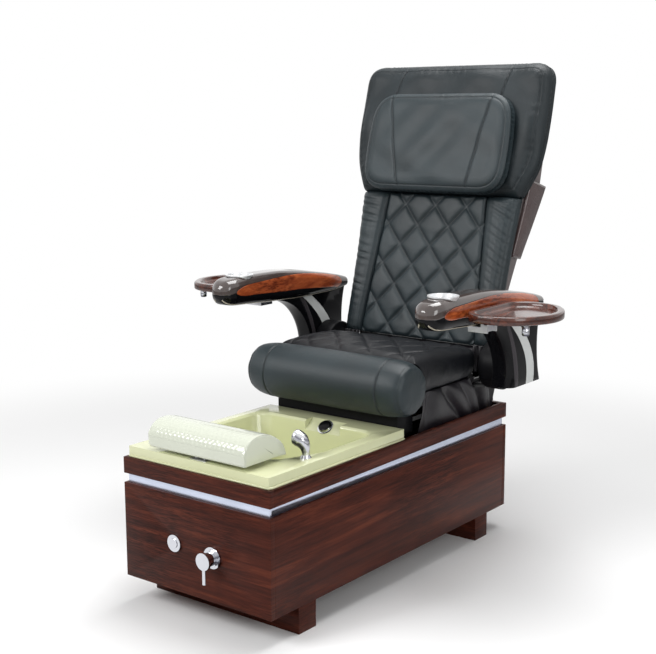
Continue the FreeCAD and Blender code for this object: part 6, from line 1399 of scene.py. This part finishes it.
def stitch_nodes():
    tree = bpy.data.node_groups.new("stitches", "GeometryNodeTree")
    sockets = [("Seams", "INPUT", "Geometry"), ("Step", "INPUT", "Float"), ("Length", "INPUT", "Float"),
               ("Thickness", "INPUT", "Float"), ("Finish", "INPUT", "Material"), ("Stitches", "OUTPUT", "Geometry")]
    for name, way, kind in sockets:
        tree.interface.new_socket(name=name, in_out=way, socket_type="NodeSocket" + kind)
    kinds = {"start": "NodeGroupInput", "end": "NodeGroupOutput", "curve": "GeometryNodeMeshToCurve",
             "steps": "GeometryNodeResampleCurve", "bead": "GeometryNodeMeshIcoSphere",
             "size": "ShaderNodeCombineXYZ", "stretch": "GeometryNodeTransform", "way": "GeometryNodeInputTangent",
             "turn": "FunctionNodeAlignRotationToVector", "place": "GeometryNodeInstanceOnPoints",
             "real": "GeometryNodeRealizeInstances", "dress": "GeometryNodeSetMaterial"}
    made = {name: tree.nodes.new(kind) for name, kind in kinds.items()}
    made["steps"].mode = "LENGTH"
    made["turn"].axis = "X"
    made["bead"].inputs["Subdivisions"].default_value = 1
    made["bead"].inputs["Radius"].default_value = 1.0
    for source, output, target, entry in (
            ("start", "Seams", "curve", "Mesh"), ("curve", "Curve", "steps", "Curve"),
            ("start", "Step", "steps", "Length"),
            ("start", "Length", "size", "X"), ("start", "Thickness", "size", "Y"), ("start", "Thickness", "size", "Z"),
            ("bead", "Mesh", "stretch", "Geometry"), ("size", "Vector", "stretch", "Scale"),
            ("way", "Tangent", "turn", "Vector"), ("steps", "Curve", "place", "Points"),
            ("stretch", "Geometry", "place", "Instance"), ("turn", "Rotation", "place", "Rotation"),
            ("place", "Instances", "real", "Geometry"), ("real", "Geometry", "dress", "Geometry"),
            ("start", "Finish", "dress", "Material"), ("dress", "Geometry", "end", "Stitches")):
        tree.links.new(made[source].outputs[output], made[target].inputs[entry])
    return tree


STITCHES = stitch_nodes()
THREAD_LIFT = 0.35
BESIDE_SEAM = (-3.2, 3.2)


def sewn(name, lines, body):
    """One piece with every stitch of a body, from lines of places in millimetres."""
    spots, edges = [], []
    for line in lines:
        edges += [(len(spots) + i, len(spots) + i + 1) for i in range(len(line) - 1)]
        spots += [tuple(spot) for spot in np.asarray(line) * MM]
    mesh = bpy.data.meshes.new(name + "_lines")
    mesh.from_pydata(spots, edges, [])
    made = bpy.data.objects.new(name, mesh)
    scene.collection.objects.link(made)
    nodes = made.modifiers.new("stitches", "NODES")
    nodes.node_group = STITCHES
    values = {"Step": 6.0 * MM, "Length": 2.2 * MM, "Thickness": 0.55 * MM, "Finish": thread}
    for item in STITCHES.interface.items_tree:
        if item.in_out == "INPUT" and item.name in values:
            nodes[item.identifier] = values[item.name]
    done = bpy.data.meshes.new_from_object(made.evaluated_get(bpy.context.evaluated_depsgraph_get()))
    made.modifiers.remove(nodes)
    made.data = done
    done.polygons.foreach_set("use_smooth", [True] * len(done.polygons))
    dress(made, thread)
    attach(made, body)
    print(name, len(lines), "seams,", len(done.vertices) // 12, "stitches")


print("stitch maker", STITCHES.name)

# %% [markdown]
# A seam counts only where it lies on its cushion. The lines are drawn flat, cut off outside the outline, and
# lifted onto the leather, so the stitches follow every dip of it.

# %% Seams
def within(spots, outline):
    """Whether flat places lie inside an outline."""
    start, end = outline, np.roll(outline, -1, 0)
    x, y = spots[:, 0][:, None], spots[:, 1][:, None]
    crosses = (start[:, 1] > y) != (end[:, 1] > y)
    rise = np.where(end[:, 1] == start[:, 1], 1e-9, end[:, 1] - start[:, 1])
    at = start[:, 0] + (y - start[:, 1]) / rise * (end[:, 0] - start[:, 0])
    return (crosses & (x < at)).sum(1) % 2 == 1


def straight(start, end):
    """A straight line as points about three millimetres apart."""
    start, end = np.asarray(start, float), np.asarray(end, float)
    count = max(2, int(np.linalg.norm(end - start) / 3.0))
    return start + (end - start) * np.linspace(0, 1, count)[:, None]


def beside(line, offset):
    """A line moved sideways."""
    way = np.gradient(line, axis=0)
    return line + offset * np.stack([-way[:, 1], way[:, 0]], -1) / np.linalg.norm(way, axis=1, keepdims=True)


def runs(cushion, line, keep_off, wide=None):
    """The parts of a flat line that lie on a cushion, clear of its edge."""
    away, _ = edge_distance(line, cushion.outline)
    good = within(line, cushion.outline) & (away > keep_off)
    if wide is not None:
        good &= np.abs(line[:, 0]) < wide
    parts = np.split(np.arange(len(line)), np.flatnonzero(np.diff(good.astype(int))) + 1)
    return [cushion.on(line[part], THREAD_LIFT) for part in parts if good[part[0]] and len(part) > 3]


def diamond_seams(cushion, middle_up, keep_off, wide=None):
    """The two rows of stitches beside every slanted seam of a cushion."""
    made = []
    for way in (-1, 1):
        for step in range(-9, 10):
            for offset in (-CHANNEL, CHANNEL):
                x = np.array([-330.0, 330.0])
                up = middle_up + way * DIAMOND[1] * ((step + 0.5) - x / DIAMOND[0])
                line = straight((x[0], up[0]), (x[1], up[1]))
                made += runs(cushion, beside(line, offset), keep_off, wide)
    return made


def around(cushion, inset):
    """A closed line inside a cushion's edge."""
    line = even(drawn_in(cushion.outline, inset), 500)
    return cushion.on(np.concatenate([line, line[:1]]), THREAD_LIFT)


back_seams = diamond_seams(quilt, QUILT_MIDDLE, 9)
for cushion, lines in ((head, HEAD_SEAMS), (pillow, PILLOW_SEAMS)):
    for line in lines:
        for offset in BESIDE_SEAM:
            back_seams += runs(cushion, beside(straight(*line), offset), 20)
back_seams += [around(head, 22), around(head, 30), around(pillow, 13.5), around(pillow, 20.5)]
seat_seams = diamond_seams(seat, SEAT_MIDDLE, 16, 230)
for side in (-1, 1):
    for offset in BESIDE_SEAM:
        seat_seams += runs(seat, beside(straight((side * SEAT_SEAM, 108), (side * SEAT_SEAM, 440)), offset), 12)
        round_roll = np.linspace(-0.3 * np.pi, 1.35 * np.pi, 160)
        for seam in (ROLL_SEAM, ROLL_END_SEAM):
            at = side * (seam + offset)
            radius = roll_radius(np.array([at]))[0] + THREAD_LIFT
            seat_seams.append(np.stack([np.full(160, at), ROLL_AXIS[0] + radius * np.cos(round_roll),
                                        ROLL_AXIS[1] + radius * np.sin(round_roll)], -1))
sewn("stitches_back", back_seams, "back")
sewn("stitches_seat", seat_seams, "seat")

# %% [markdown]
# The studio: a pale floor that fades into a white backdrop, a broad light from the front left, a second from
# the right, and one above. The world gives the even light of white walls, and metal and gloss see it white.

# %% Studio
floor_mesh = bpy.data.meshes.new("floor")
FLOOR_REACH = 30.0
floor_mesh.from_pydata([(x * FLOOR_REACH, y * FLOOR_REACH, 0) for x, y in ((-1, -1), (1, -1), (1, 1), (-1, 1))], [],
                       [[0, 1, 2, 3]])
floor = bpy.data.objects.new("floor", floor_mesh)
scene.collection.objects.link(floor)
pale = Finish("pale_floor")
distance = pale.node("VectorMath", {"operation": "LENGTH"}, {0: pale.place}, out="Value")
seen = pale.node("LightPath", out="Is Camera Ray")
glow = pale.node("Emission", None, {"Color": (1, 1, 1, 1), "Strength": 1.0})
ground = pale.node("BsdfDiffuse", None, {"Color": (0.93, 0.93, 0.93, 1)})
blend = pale.node("MixShader", None, {0: seen * distance.between(1.3, 3.2), 1: ground, 2: glow})
pale_output = pale.tree.nodes.new("ShaderNodeOutputMaterial")
pale.tree.links.new(blend.socket, pale_output.inputs["Surface"])
dress(floor, pale.material)

world = bpy.data.worlds.new("studio")
scene.world = world
world.use_nodes = True
walls = world.node_tree
walls.nodes.clear()
light_path = walls.nodes.new("ShaderNodeLightPath")
shown_white = light_path.outputs["Is Camera Ray"]
for ray in ("Is Transmission Ray", "Is Glossy Ray"):
    either = walls.nodes.new("ShaderNodeMath")
    either.operation = "MAXIMUM"
    walls.links.new(shown_white, either.inputs[0])
    walls.links.new(light_path.outputs[ray], either.inputs[1])
    shown_white = either.outputs[0]
level_of = walls.nodes.new("ShaderNodeMapRange")
level_of.inputs["To Min"].default_value = 0.27
level_of.inputs["To Max"].default_value = 1.0
walls.links.new(shown_white, level_of.inputs["Value"])
sky = walls.nodes.new("ShaderNodeBackground")
sky.inputs["Color"].default_value = (1, 1, 1, 1)
walls.links.new(level_of.outputs["Result"], sky.inputs["Strength"])
world_output = walls.nodes.new("ShaderNodeOutputWorld")
walls.links.new(sky.outputs["Background"], world_output.inputs["Surface"])


def softbox(name, place, aim, size, power):
    """A broad light at a place, turned towards another."""
    lamp = bpy.data.lights.new(name, "AREA")
    lamp.shape = "RECTANGLE"
    lamp.size, lamp.size_y = size
    lamp.energy = power
    made = bpy.data.objects.new(name, lamp)
    made.location = place
    made.rotation_euler = (Vector(aim) - Vector(place)).to_track_quat("-Z", "Y").to_euler()
    scene.collection.objects.link(made)


softbox("key", (-1.6, -3.2, 2.9), (0, 0.1, 0.7), (2.2, 1.6), 100)
softbox("fill", (3.4, -1.4, 1.8), (0, 0.1, 0.7), (1.6, 2.0), 40)
softbox("top", (0.2, 0.6, 3.4), (0, 0.1, 0.6), (2.0, 2.0), 88)
print("studio ready")
